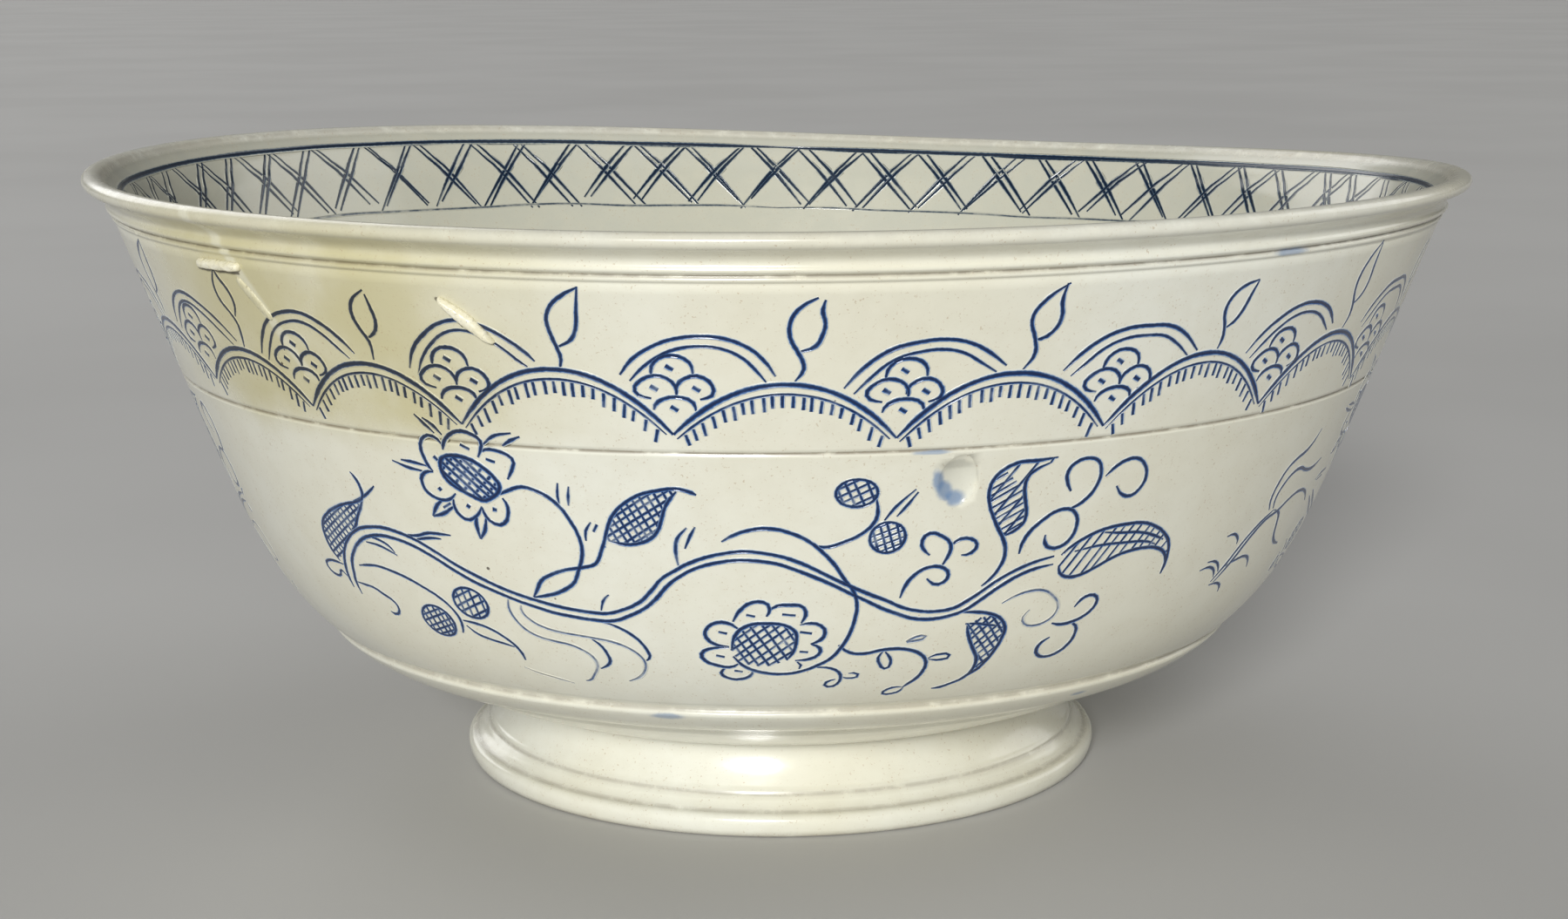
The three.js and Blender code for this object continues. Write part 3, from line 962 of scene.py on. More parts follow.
# over each cusp, a double arch with a cluster of four berries in it
archOutlines = {
    -56.2: [(-60.6, 87), (-59.4, 91), (-57.4, 94), (-55.4, 94.6), (-53, 93), (-50.6, 90),
            (-48.8, 86.6)],
    -41.0: [(-45.5, 85), (-44.4, 89), (-42.8, 92.6), (-40.6, 94.6), (-38.6, 94.9), (-36.8, 93.4),
            (-35, 90.4), (-34, 87.8)],
    -25.4: [(-28.9, 86), (-28.2, 89.6), (-26.8, 93), (-25, 95.6), (-23.4, 96.2), (-21.4, 95),
            (-19.8, 92.8), (-18.6, 90.6), (-18, 89)],
    -8.0: [(-11.6, 87), (-10.6, 90), (-9, 92.6), (-7.4, 94.1), (-5.6, 94.6), (-3.8, 94.2), (-2.2, 92.6),
           (-1, 90), (-0.2, 87)],
    9.0: [(4.8, 84.5), (6, 88), (8, 91.6), (10, 93), (12, 93.4), (13.8, 92.6), (15.4, 90.6),
          (16.9, 87.8)],
    26.3: [(21.6, 86), (22.8, 89), (24.4, 91.8), (26.4, 93.4), (28.4, 93.6), (30.2, 93.2), (31.8, 91.4),
           (33.6, 87.6)],
    43.2: [(39.2, 85.6), (40.4, 89), (42, 91.8), (44, 93.8), (46, 94.1), (48, 93), (49.4, 91),
           (50.4, 88.6)],
}
berries = [   # from a cusp: four rounded outlines, each with an eye
    ([(-1.2, 11.2), (-1.1, 13.2), (-0.5, 14.8), (0.2, 15.3), (1.1, 15.0), (1.7, 13.9),
      (1.9, 11.2)], (0.2, 12.9)),
    ([(-1.4, 7.1), (-2.4, 7.8), (-2.6, 9.2), (-2.1, 10.5), (-1.4, 11.4), (-0.6, 11.5), (0.1, 10.7),
      (0.5, 9.4), (0.5, 7.7)], (-1.1, 9.1)),
    ([(0.5, 8.6), (0.6, 9.9), (1.2, 11.1), (2.0, 11.6), (2.7, 11.0), (3.2, 9.4), (3.1, 7.8),
      (2.2, 7.0)], (2.0, 9.0)),
    ([(-1.3, 5.0), (-1.1, 6.2), (-0.5, 7.2), (0.3, 7.6), (1.1, 7.4), (1.7, 6.6),
      (1.9, 4.7)], (0.3, 5.3)),
]


def archStrokes():
    strokes = []
    for angle, up in scallopCusps():
        outline = archOutlines.get(angle)
        if outline is None:
            outline = [(x + 8 + angle + chance.uniform(-0.15, 0.15), y + chance.uniform(-0.3, 0.3))
                       for x, y in archOutlines[-8.0]]
        middle = (outline[0][0] + outline[-1][0]) / 2
        inner = [(middle + (x - middle) * 0.88, y - 1.9 * (1 if 0 < i < len(outline) - 1 else 0.6))
                 for i, (x, y) in enumerate(outline)]
        strokes += [("line", outline), ("fine", inner)]
        for outline, (x, y) in berries:
            slide, rise = angle + chance.uniform(-0.1, 0.1), up + chance.uniform(-0.2, 0.2)
            strokes.append(("line", [(x + slide, y + rise) for x, y in outline]))
            strokes.append(("bold", [(x + slide - 0.3, y + rise + 0.45),
                                     (x + slide + 0.25, y + rise - 0.35)]))
    return strokes


# a bud on a stem over each scallop: the stem with its left side, then the right side
buds = [
    ([(1.2, 86), (1.8, 88), (1.8, 89.5), (1.4, 91.6), (0.9, 94), (0.8, 96.5), (1.2, 99), (2, 100.8),
      (2.8, 101.8)],
     [(1.4, 91.6), (2.6, 92.6), (3.1, 94.6), (3.3, 97), (3.1, 99.4), (3.3, 101.4)]),
    ([(-16.1, 87.8), (-15.9, 90), (-16.1, 92), (-16.4, 94.6), (-16.5, 97.6), (-16, 100), (-15, 102),
      (-13.9, 103.4)],
     [(-13.9, 103.6), (-14.2, 99), (-14.4, 96), (-14.9, 93.5), (-16, 92)]),
    ([(18.2, 86.6), (19, 89.8), (18.8, 92.6), (18.3, 96.8), (19.2, 100.2), (20.8, 103)],
     [(20.6, 103), (20.4, 99.6), (20.6, 96.6), (20.1, 93.8), (19.5, 92.8), (18.8, 92.4)]),
    ([(35.7, 87.4), (35.9, 89.4), (35.7, 92), (35.3, 94.8), (35.6, 97.6), (36.6, 99.6), (38, 100.5)],
     [(38, 100.4), (37.6, 97.8), (37.2, 94.8), (36.6, 92.6), (35.8, 91.4)]),
    ([(52.6, 87), (53, 89.6), (52.8, 91.8), (52.2, 94.6), (52, 97.4), (52.6, 101), (54, 104.6)],
     [(54, 104), (54, 100), (54.2, 96), (53.8, 93.6), (52.9, 92)]),
    ([(-32.2, 87), (-32.1, 90.6), (-32.6, 92.8), (-33, 96), (-32.6, 98.6), (-31.3, 100.8)],
     [(-31.2, 100), (-31, 97.4), (-30.9, 94.4), (-31.4, 92.4), (-32.2, 91.2)]),
    ([(-47.9, 85.6), (-47.6, 88), (-47.5, 90.6), (-48, 92.6), (-48.8, 95), (-48.9, 98), (-48.2, 101)],
     [(-47.4, 92), (-46.8, 94.6), (-47, 97.4), (-47.8, 100), (-48, 102)]),
]


def budStrokes():
    strokes = []
    for stem, side in buds:
        strokes += [("line", stem), ("line", side)]
    cusps = [angle for angle, _ in scallopCusps()]
    drawn = len(border["cusps"])
    for left, right in zip(cusps[drawn - 1:], cusps[drawn:] + [cusps[0] + 360]):
        stem, side = buds[chance.randrange(4)]
        turn = (left + right) / 2 - stem[0][0] + chance.uniform(-0.6, 0.6)
        wobble = chance.uniform(0.94, 1.04)
        for points in (stem, side):
            strokes.append(("line", [(x + turn, 86 + (y - 86) * wobble) for x, y in points]))
    return strokes


# The flower spray below the ring line
leafBud = [(-46.2, 40.5), (-46.8, 43), (-46.9, 46), (-46.4, 49), (-45.2, 51.2), (-43.5, 53.2),
           (-41.5, 54.8)]
leafBudSide = [(-38.8, 56.8), (-39.6, 54.5), (-40.4, 52.5), (-41.2, 50.2), (-42, 49)]
middleLeafTop = [(-15.6, 49), (-15.2, 51), (-14.8, 53), (-14.4, 55.5), (-14, 57.6), (-13.4, 59.6),
                 (-12.4, 61.6), (-11.2, 63.2), (-9.8, 64.1), (-8.2, 64.6), (-7, 63.9), (-6.6, 63.4)]
middleLeafLow = [(-14.4, 53.3), (-13, 52.7), (-11.8, 53), (-10.8, 54), (-10, 56), (-9.6, 58.4),
                 (-9.3, 60.4), (-8.8, 62.4), (-8.2, 64)]
bigLeafTop = [(25.3, 47.5), (26, 49), (27.6, 51), (29.4, 52.2), (31.5, 52.5), (33.5, 52.2),
              (35.2, 50.8), (36.6, 48.8), (37.5, 46.6), (37.9, 44), (38, 41.5), (37.9, 39.5)]
bigLeafLow = [(25.3, 45.4), (25.6, 43.6), (26.6, 42.4), (27.8, 42.5), (29.4, 43.8), (31, 45.4),
              (32.6, 46.3), (34.4, 46.5), (36, 46), (37, 45), (37.6, 43.8), (37.9, 42)]
upperLeafStem = [(22.8, 68.6), (21, 68.3), (19.4, 68.2), (18.2, 67), (17.4, 65), (17.2, 62.6),
                 (17.4, 60), (17.9, 57.4), (18.6, 54.6), (19.2, 52.4), (19.6, 50), (19.6, 47.6),
                 (19.2, 45.4), (18.6, 43.6), (18, 42.4)]
upperLeafSide = [(22.2, 67.6), (21, 66.4), (20.4, 65), (20.3, 62.6), (20.6, 60), (20.9, 57.4),
                 (20.8, 55.4), (20, 53.8), (19.2, 53)]
lowerLeafOut = [(16.4, 36.8), (18, 36.6), (19.6, 35.8), (20.8, 34.2), (21.4, 31.8), (21.3, 29),
                (20.9, 26), (20.4, 23.6), (19.8, 21.6), (19, 20.2), (18.4, 18.9), (17.4, 17.8),
                (16.4, 16.9), (15.6, 16.7)]
lowerLeafIn = [(17.4, 34), (17.7, 31.6), (18.2, 29.2), (18.8, 27), (19.3, 25), (19.4, 23), (19.2, 21),
               (18.8, 19.8)]
rightDisc = [(-4.5, 29.5), (-4, 33.5), (-2.8, 35.6), (-1.2, 36), (0.4, 35.6), (1.4, 34), (1.5, 32),
             (1.2, 29), (0.6, 27), (-0.8, 25.6), (-2.6, 25.6), (-4, 27)]

sprayStrokes = [
    # the double vine
    ("line", [(-45.9, 34.5), (-45.9, 37), (-45.5, 40), (-44.6, 43.5), (-43.5, 46), (-42, 48.4),
              (-40.5, 49.9), (-39, 50.6), (-37.4, 50.9), (-35.6, 50.4), (-33.8, 49.3), (-32, 47.4),
              (-30, 45), (-28, 43), (-26, 41.2), (-24, 39.8), (-22.5, 39), (-20.8, 38.2), (-19, 37.6),
              (-17, 37.2), (-15.8, 37.2), (-14, 38.4), (-12.4, 40.3), (-11.2, 43), (-10.2, 45.6),
              (-9, 47.4), (-7.8, 49), (-6, 50.6), (-4.5, 51.4), (-3, 51.8), (-1.5, 51.5), (0, 50.8),
              (1.5, 49.6), (3, 47.9), (4.5, 46), (6, 44.2), (8, 42), (9.5, 40.5), (11, 38.8),
              (12.6, 37.8), (14.2, 37.5), (15.8, 38), (16.8, 39.2), (18, 41), (19.2, 43), (20.4, 44.6),
              (21.6, 45.8), (23, 46.8), (24.6, 47.5)]),
    ("line", [(-45, 33.2), (-45, 36), (-44.6, 38.5), (-44, 41.5), (-43, 44), (-41.6, 46.5), (-40, 48.2),
              (-38.2, 49), (-36.5, 48.9), (-34.5, 48), (-32.5, 46.2), (-30.5, 43.8), (-28.5, 41.6),
              (-26.5, 40), (-24.5, 38.5), (-22.8, 37.5), (-21, 36.5), (-19, 35.9), (-17, 35.5),
              (-15.2, 35.6), (-13.6, 37), (-12, 39), (-10.8, 41.4), (-9.8, 44), (-8.6, 46.2),
              (-7.2, 48), (-5.6, 49.2), (-3.6, 49.9), (-2, 49.8), (-0.4, 49.3), (1.2, 48), (3, 46.2),
              (4.8, 44.2), (6.2, 42.4), (7.4, 41), (9, 39), (10.6, 37.4), (12, 36.2), (13.8, 35.8),
              (15.4, 36.2), (16.8, 37.2), (18, 39), (19.2, 41), (20.4, 42.8), (21.6, 44.2), (23, 45.2),
              (24.7, 45.7)]),
    # hatched bud and curls at the left end
    ("line", leafBud + [(-39.8, 55.8), (-38.8, 57), (-38.6, 59), (-38.8, 61), (-39.3, 62.3)]),
    ("fine", [(-41.5, 54.8), (-39, 56.8), (-37.5, 58.8), (-36.8, 60)]),
    ("line", leafBudSide),
    *crossed(leafBud + leafBudSide, (1.25, 35), (1.35, 115)),
    ("fine", [(-35.4, 50.2), (-33.5, 50.4), (-32.2, 51.3), (-30.8, 51.5), (-29.6, 51.5)]),
    ("fine", [(-34, 49.3), (-32.8, 50), (-31.6, 50.4), (-30.8, 50.4)]),
    ("fine", [(-45.9, 39.8), (-47, 40.1), (-48.4, 39.8), (-49.1, 38.9), (-48.9, 37.4), (-48.2, 36.6),
              (-47.3, 36.8), (-46.8, 38.2), (-46.1, 36.8)]),
    ("fine", [(-44.8, 36.2), (-43.5, 36), (-42.4, 35.8), (-41.2, 34.6), (-40.3, 33.6), (-39.9, 32.2),
              (-40.3, 30.4), (-41.1, 30), (-41.5, 30.4)]),
    ("fine", [(-40.5, 48.3), (-39.4, 48.2), (-38.2, 47.6), (-37.5, 46.8), (-37.1, 45.5)]),
    ("fine", [(-40.6, 46.8), (-39, 46.6), (-38, 46), (-36.9, 45)]),
    ("fine", [(-43.2, 40.6), (-41.8, 41.2), (-40.3, 41.5), (-38.5, 41), (-36.8, 40.1), (-35, 38.5),
              (-33.4, 36.6), (-32.4, 34.5), (-31.9, 32.2), (-32, 29.8), (-32.3, 28.4)]),
    # two hatched fruits, a leaf and the ribbon tails
    *fruit(-34.8, 30.6, 1.95, 3.7, (1.3, 25), (1.37, 100)),
    *fruit(-29.8, 36.4, 1.9, 3.5, (1.56, 30), (1.56, 95)),
    ("fine", [(-31.6, 31.8), (-30.4, 31.6), (-28.8, 30.8), (-27.6, 29.4), (-26.4, 27), (-26, 25),
              (-26, 23.2)]),
    ("fine", [(-31.4, 30.6), (-30.4, 28.8), (-29, 27.8), (-27.4, 27.1), (-26.6, 26.6)]),
    ("dry", [(-25.4, 38.4), (-25.6, 36.5), (-25.3, 34), (-24.6, 31.8), (-23.4, 30.2), (-21.8, 29.4),
             (-20.2, 28.8), (-19, 27.6), (-18.2, 26), (-18, 24), (-18.2, 22.8), (-18.8, 20.8),
             (-19.4, 19.2), (-20, 18.8)]),
    ("dry", [(-24.2, 37.4), (-24.3, 36), (-23.6, 34), (-22.4, 32.6), (-20.8, 31.8), (-19, 31.4),
             (-17.4, 31), (-15.8, 30.4), (-14.4, 29.2), (-13.4, 27.4), (-13, 25.6), (-13.2, 23.4),
             (-14, 21.2), (-15.2, 19.8)]),
    ("fine", [(-17.9, 31), (-17, 29.2), (-16.6, 27), (-16.5, 25.4), (-17, 24), (-17.8, 23)]),
    ("fine", [(-16.6, 35.2), (-15.2, 34.4), (-13.9, 32.8), (-13, 30.8), (-12.5, 28.6), (-12.4, 27),
              (-12.9, 26)]),
    ("bare", [(-26.6, 21), (-25.2, 19.6), (-23.4, 18.6), (-21.5, 17.5)]),
    # stem of the upper flower, and the hatched leaf beside it
    ("line", [(-24.2, 60.8), (-22.7, 62.4), (-21.2, 63.5), (-20.2, 63), (-19, 61.6), (-18.2, 59.8),
              (-17.5, 57), (-17, 54), (-16.9, 51), (-17.2, 48.4), (-17.7, 46), (-18.2, 43.8),
              (-19, 42.4), (-20.2, 41), (-21.4, 40.2), (-22.6, 39.6)]),
    ("line", [(-22.6, 39.6), (-22, 41.6), (-21.4, 43.6), (-20.2, 45.2), (-18.8, 46.4), (-17.2, 47.2),
              (-16, 48)]
     + middleLeafTop),
    ("line", middleLeafLow),
    *crossed(middleLeafTop + middleLeafLow[::-1], (1.15, 38), (1.3, 112)),
    ("fine", [(-18, 64.8), (-18.2, 62.4), (-18.2, 60)]),
    ("fine", [(-17.1, 64.2), (-17.3, 62), (-17.4, 60.2)]),
    ("fine", [(-15.7, 57), (-16.3, 55), (-16.4, 53)]), ("hatch", [(-15.2, 56.6), (-15.6, 55)]),
    ("fine", [(-6.9, 56.8), (-7.4, 54.8), (-7.9, 52.2)]),
    ("line", [(-7.6, 56.6), (-8.5, 54.2), (-8.7, 51.5), (-8.6, 48.6)]),
    ("fine", [(-15.2, 41.5), (-15.8, 40.2), (-16.2, 37.8)]),
    # the large loop and the lower flower
    ("line", [(-4.4, 28), (-3.4, 25.4), (-1.8, 23.8), (0.4, 23.3), (2, 24), (3.6, 25.6), (4.8, 27.4),
              (5.6, 29.8), (6.3, 33), (6.7, 36.5), (6.8, 40), (6.4, 43), (5.6, 45.5), (4.6, 49),
              (3.4, 52), (2.6, 53.6), (1.2, 55.4), (-0.8, 56.6), (-2.4, 56.3), (-3.8, 55.2),
              (-4.8, 53.8)]),
    ("line", rightDisc[:9]), *crossed(rightDisc, (1.49, 42), (1.62, 118)),
    ("line", [(-4.2, 36.4), (-3.6, 38.8), (-2.4, 40.8), (-1.2, 40.6), (-0.9, 39), (-1.2, 37.6)]),
    ("line", [(-1, 38.8), (-0.4, 39.9), (0.8, 40.2), (2, 39.8), (2.3, 38), (1.9, 36)]),
    ("line", [(1.8, 35.6), (2.8, 36), (3.8, 35.2), (4.1, 33.4), (3.6, 31.8), (2.8, 31)]),
    ("line", [(2.9, 31), (3.7, 30), (3.6, 28.4), (2.6, 27.2), (1.4, 26.9)]),
    ("line", [(-3.6, 34.4), (-4.6, 36), (-5.6, 36.2), (-6.6, 34.8), (-6.8, 32.8), (-6, 31),
              (-4.7, 30.4)]),
    ("line", [(-4.7, 30.2), (-6.2, 30), (-7.3, 28.8), (-7.2, 27), (-6, 25.6), (-4.6, 25.2), (-4, 26)]),
    ("line", [(-5.2, 25), (-5.7, 23.4), (-5, 22), (-3.8, 21.8), (-2.8, 23), (-2.6, 24.2)]),
    ("fine", [(1.6, 26.6), (2, 25.4), (1.8, 24.6)]),
    *[("fine", pair) for pair in ([(-3, 38),
                                   (-2.2, 37.6)], [(0.2, 38.1), (1.4, 37.8)], [(1.8, 34), (2.9, 33.6)],
                                  [(1.8, 29.2),
                                   (2.6, 29)], [(-5.6, 34), (-4.8, 33.6)], [(-6, 28.2), (-5.2, 27.8)],
                                  [(-4.4, 24.2), (-3.6, 23.9)])],
    # tendrils to its right
    ("line", [(5.4, 30.6), (6.2, 29), (7, 28.3), (8.2, 28.3), (9.4, 28.9), (10.8, 29.1), (12.2, 28.6),
              (13.4, 27.3), (14.1, 25.2), (14.1, 23), (13.6, 20.6), (12.8, 18.8), (12.4, 17.8)]),
    ("fine", [(12.3, 18), (11.4, 18), (10.6, 17), (10.4, 16.2), (11.4, 15.9), (12.2, 16.6),
              (12.5, 17.8)]),
    ("fine", [(9.7, 28.6), (9.3, 27), (9.5, 25.4), (10.2, 23.9), (10.6, 25.4), (10.4, 27),
              (9.9, 28.4)]),
    ("fine", [(14.1, 25.8), (15, 26.8), (16.4, 26.2), (15.4, 25.4), (14.2, 25.8)]),
    ("dry", [(11.8, 30.6), (12.6, 31.7), (13.6, 31.6), (12.9, 30.9), (11.8, 30.6)]),
    ("fine", [(3.4, 25), (4.6, 24.8), (5.6, 23.6), (5.9, 21.8), (5.6, 20), (5, 19.2), (4.4, 19.6),
              (4.6, 20.8), (5.4, 21.4)]),
    ("fine", [(6, 22), (6.8, 21.6), (7.6, 22.2), (7.4, 23), (6.6, 23)]),
    # branch with two fruits above, and the small scrolls
    ("line", [(2.8, 53), (3.9, 52.6), (5.4, 53.6), (6.8, 55.2), (7.8, 57.6), (8, 60), (7.8, 62.5)]),
    *fruit(6.2, 63.6, 1.7, 2.8, (1.43, 30), (1.56, 110)),
    *fruit(9, 54.2, 1.5, 3.2, (1.3, 25), (1.43, 105)),
    ("fine", [(8.6, 57.8), (9.4, 60.4), (11, 64)]), ("fine", [(9.6, 58.5), (10.2, 60.2), (11.2, 63.4)]),
    ("line", [(10.6, 41), (10.9, 43.4), (11.6, 45.8), (12.8, 47.4), (14, 47.3), (14.7, 45.8),
              (14.4, 44), (13.6, 43.6), (12.8, 45)]),
    ("line", [(14, 47.6), (14.4, 49.4), (14.6, 51.2), (14.4, 52.6), (13.6, 54), (12.6, 54.7),
              (12, 53.4), (12.1, 51.6), (12.8, 50)]),
    ("line", [(14.6, 51.8), (15.2, 53), (16.2, 53), (16.9, 51.6), (16.4, 49.8), (15.6, 49.6)]),
    # three hatched leaves on the right
    ("line", bigLeafTop), ("line", bigLeafLow),
    ("fine", [(29.2, 51.4), (31, 50.8), (33.4, 50.2), (35.6, 48.6), (36.6, 47.6)]),
    ("fine", [(26.6, 48), (29, 48.6), (32, 48.4), (34.6, 47.8), (36, 46.6)]),
    *hatched(bigLeafTop + bigLeafLow[::-1], 1.7, 62),
    ("line", upperLeafStem), ("line", upperLeafSide),
    *hatched(upperLeafStem[3:10] + upperLeafSide[3:][::-1], 1.25, 35),
    *hatched(upperLeafStem[:10] + upperLeafSide[::-1], 2.2, 60),
    ("line", lowerLeafOut), ("line", lowerLeafIn), ("fine", [(17.2, 34), (18.4, 33.8), (19.6, 33.2),
                                                             (20.6, 32.8)]),
    *crossed(lowerLeafOut[2:10] + lowerLeafIn[::-1], (1.3, 50), (1.5, 125)),
    # scrolls round them
    ("line", [(21, 48.8), (21.1, 51), (21.6, 53.4), (22.6, 55.6), (23.8, 57.3), (25, 57.4), (25.8, 56),
              (26.1, 53.6), (25.8, 51), (25, 49.5), (24, 49.4), (23.3, 50.6), (23.2, 52.4)]),
    ("line", [(24.8, 57.3), (25.8, 58.2), (26.7, 60), (27.2, 62.4), (27.2, 65), (26.6, 67.2),
              (25.6, 67.8), (24.6, 67.2), (24, 65.4), (24.2, 63), (24.7, 61.2)]),
    ("line", [(27.8, 63.5), (28.4, 65), (29.4, 66.4), (30.6, 66.6), (31.6, 65), (32.1, 62.4),
              (31.8, 60), (31, 58.7), (30, 59.2), (29.2, 61.2)]),
    ("dry", [(20.4, 38), (21.6, 39.4), (23, 40.2), (24.4, 40), (25.6, 38.4), (26.4, 36.4), (26.5, 34.4),
             (25.8, 32.6), (24.6, 31.8), (23.4, 32.4), (23, 34), (23.5, 35.8)]),
    ("line", [(28.4, 35), (28.9, 36.6), (29.8, 37.4), (30.7, 36.6), (30.8, 34.6), (30, 32.6),
              (28.8, 31.5), (27.4, 31.2), (26.4, 31.8)]),
    ("line", [(28.6, 31.3), (29.4, 30.2), (29.7, 28), (29.4, 25.4), (28.6, 23.6), (27.4, 22.8),
              (26.4, 23.4), (25.8, 25), (26, 27), (26.8, 28.2)]),
]


# The flower that sits on the ring line: six broad petals and spiky leaves round a hatched heart
flowerHeart = [(-28.6, 66.0), (-28.4, 67.6), (-27.7, 68.6), (-26.7, 68.8), (-25.5, 68.3), (-24.5, 66.9),
               (-23.7, 65.2), (-23.3, 63.3), (-23.6, 61.9), (-24.3, 60.7), (-25.1, 59.9), (-25.9, 60.4),
               (-27, 61.5), (-28, 62.8), (-28.5, 64.4), (-28.6, 66.0)]
flowerStrokes = [
    ("bold", flowerHeart),
    *hatched(flowerHeart[:-1], 1.35, -50, "bold"), *hatched(flowerHeart[:-1], 1.7, 48, "line"),
    ("line", [(-27.9, 69.8), (-27.7, 71), (-27, 72.9), (-25.7, 74.1), (-24.8, 73.6), (-24.1, 72.4),
              (-24.3, 70.4), (-24.7, 68.9)]),
    ("line", [(-24.3, 70.1), (-23.8, 70.7), (-22.8, 70.6), (-21.9, 69.8), (-21.5, 68.8), (-21.8, 67),
              (-22.4, 64.8)]),
    ("line", [(-27.9, 71), (-28.2, 72), (-28.8, 72.6), (-29.4, 72.2), (-29.9, 71), (-30.1, 69.4),
              (-30, 67.6), (-29.8, 66), (-29.5, 65)]),
    ("line", [(-29.5, 64.9), (-30.2, 64.8), (-30.8, 63.8), (-31, 62.2), (-30.8, 60.6), (-30, 59.4),
              (-29.2, 59.1), (-28.5, 59.5), (-27.8, 60.8)]),
    ("line", [(-28.2, 59.5), (-28.3, 57.9), (-28, 56.3), (-27.3, 55.4), (-26.7, 55.8), (-26, 57),
              (-25.5, 58.6)]),
    ("line", [(-25.5, 58.4), (-25.4, 56.9), (-25, 55.6), (-24.3, 55), (-23.6, 55.6), (-23.1, 57.6),
              (-23, 59.4), (-23.3, 60.8)]),
    ("tick", [(-26.1, 71.3), (-25.3, 70.4)]), ("tick", [(-24, 68.7), (-23.2, 68.2)]),
    ("bold", [(-29, 68.3), (-28.7, 67.5)]), ("bold", [(-29.4, 61.7), (-29.2, 61.1)]),
    ("bold", [(-27, 58.6), (-26.7, 58.1)]), ("bold", [(-24.5, 58.3), (-24.1, 58.1)]),
    ("line", [(-27.6, 72.9), (-28.3, 74.9), (-29.1, 76.1)]),
    ("line", [(-28.3, 73.1), (-29, 74.8), (-29.8, 76.7)]),
    ("line", [(-30, 66), (-31.3, 66.5), (-32.6, 66.7)]),
    ("line", [(-30.4, 64.8), (-31.9, 65.2), (-33.6, 66.3)]),
    ("line", [(-24, 71.5), (-22.8, 73.6), (-21.2, 74.4)]),
    ("line", [(-22.2, 71.7), (-21.4, 72.9), (-20.5, 73.8)]),
    ("bold", [(-29.4, 59), (-30.2, 57.6), (-30.9, 55.3)]),
    ("bold", [(-28.4, 57.9), (-29.7, 56.1), (-30.9, 55.3)]),
    ("hatch", [(-28.6, 58.6), (-29.5, 57.4)]),
    ("bold", [(-26.2, 56.9), (-26.5, 54.7), (-26.5, 51.5)]),
    ("bold", [(-25.4, 56.1), (-25.8, 53.5), (-26.5, 51.5)]),
]


# what shows of the spray at the right edge
rightStart = [
    ("line", [(47, 34), (48.5, 37.8), (50, 42), (52, 45.6), (54, 47.6)]),
    ("line", [(47.6, 33.6), (49.4, 38), (51, 42.4), (53, 45.8), (55, 47), (57, 49), (59, 49.8),
              (61.4, 48.6), (63, 46)]),
    ("fine", [(44, 37.8), (45.4, 38.1), (46.6, 36.8), (47.1, 35)]),
    ("fine", [(44.8, 39.4), (46, 39.2), (47, 37.8), (47.5, 36.2)]),
    ("fine", [(46.4, 44.6), (47.4, 44.8), (48.6, 43.2), (48.8, 42)]),
    ("fine", [(48.4, 37), (50, 37.8), (51.8, 38), (53, 36.8), (53.7, 34.6)]),
    ("fine", [(47, 33.2), (48.4, 33.1), (49.4, 32), (49.7, 30.4)]),
    ("line", [(52.8, 48), (52.2, 50.6), (52.4, 54), (53.2, 57), (54.6, 58.8), (56, 59.8), (57, 61.4),
              (57.8, 64)]),
    ("line", [(53.6, 48), (53.2, 50.6), (53.8, 53.4), (55, 55.4), (56.4, 55.9), (58, 54.9), (60, 54.6),
              (62, 56)]),
    ("line", [(54.2, 47.4), (55.6, 46.2), (56.4, 43.4), (57.2, 40.4), (58.4, 38.4), (60, 37.4)]),
]


# The trellis round the inside. Here the second number is the way down from the rim's inner edge.
trellis = {
    "pairs": 55,
    "top": 4.2,
    "bottom": 22.0,
    "gap": 0.84,
    "lean": 6.2,
}


def trellisStrokes():
    strokes = []
    edge, low, lean = trellis["top"], trellis["bottom"], trellis["lean"]
    for drop, style, slack in ((edge, "heavy", 0.12), (low, "dry", 0.3)):
        around = [(angle, drop + chance.uniform(-slack, slack)) for angle in range(-180, 180, 6)]
        strokes.append((style, around + [(180, around[0][1])]))
    under = [(angle, edge + 0.5 + chance.uniform(-0.3, 0.2)) for angle in range(-178, 178, 5)]
    strokes.append(("fine", under))
    pitch = 360 / trellis["pairs"]
    for i in range(trellis["pairs"]):
        middle = -180 + i * pitch + chance.uniform(-0.5, 0.5)
        for side in (1, -1):
            slide = chance.uniform(-0.9, 0.9)
            for half in (-0.5, 0.5):
                offset = middle + slide + half * trellis["gap"] * chance.uniform(0.8, 1.3)
                startAngle, startDrop = offset - side * lean / 2, edge - 0.2 + chance.uniform(-0.4, 0.6)
                endAngle = offset + side * lean / 2 + chance.uniform(-0.3, 0.3)
                endDrop = low + chance.uniform(-2.2, 0.7)
                bendAngle = (startAngle + endAngle) / 2 + chance.uniform(-0.15, 0.15)
                strokes.append(("bold", [(startAngle, startDrop), (bendAngle, (startDrop + endDrop) / 2),
                                         (endAngle, endDrop)]))
    return strokes


print("scratching the decoration")
section = sectionCurve()
decoration = []


def scratchPiece(name, strokes, wall, material, rows):
    curve = strokeCurve(name + "Strokes", strokes)
    step = scratch["insideStep"] if wall is insideWall else scratch["step"]
    decoration.append(growMesh(name, lineTree, {
        "Strokes": curve, "Wall": wall, "Section": section, "Working Radius": scratch["workingRadius"] * mm,
        "Step": step * mm, "Bake Rows": rows, "Material": material}))
    bpy.data.objects.remove(curve)


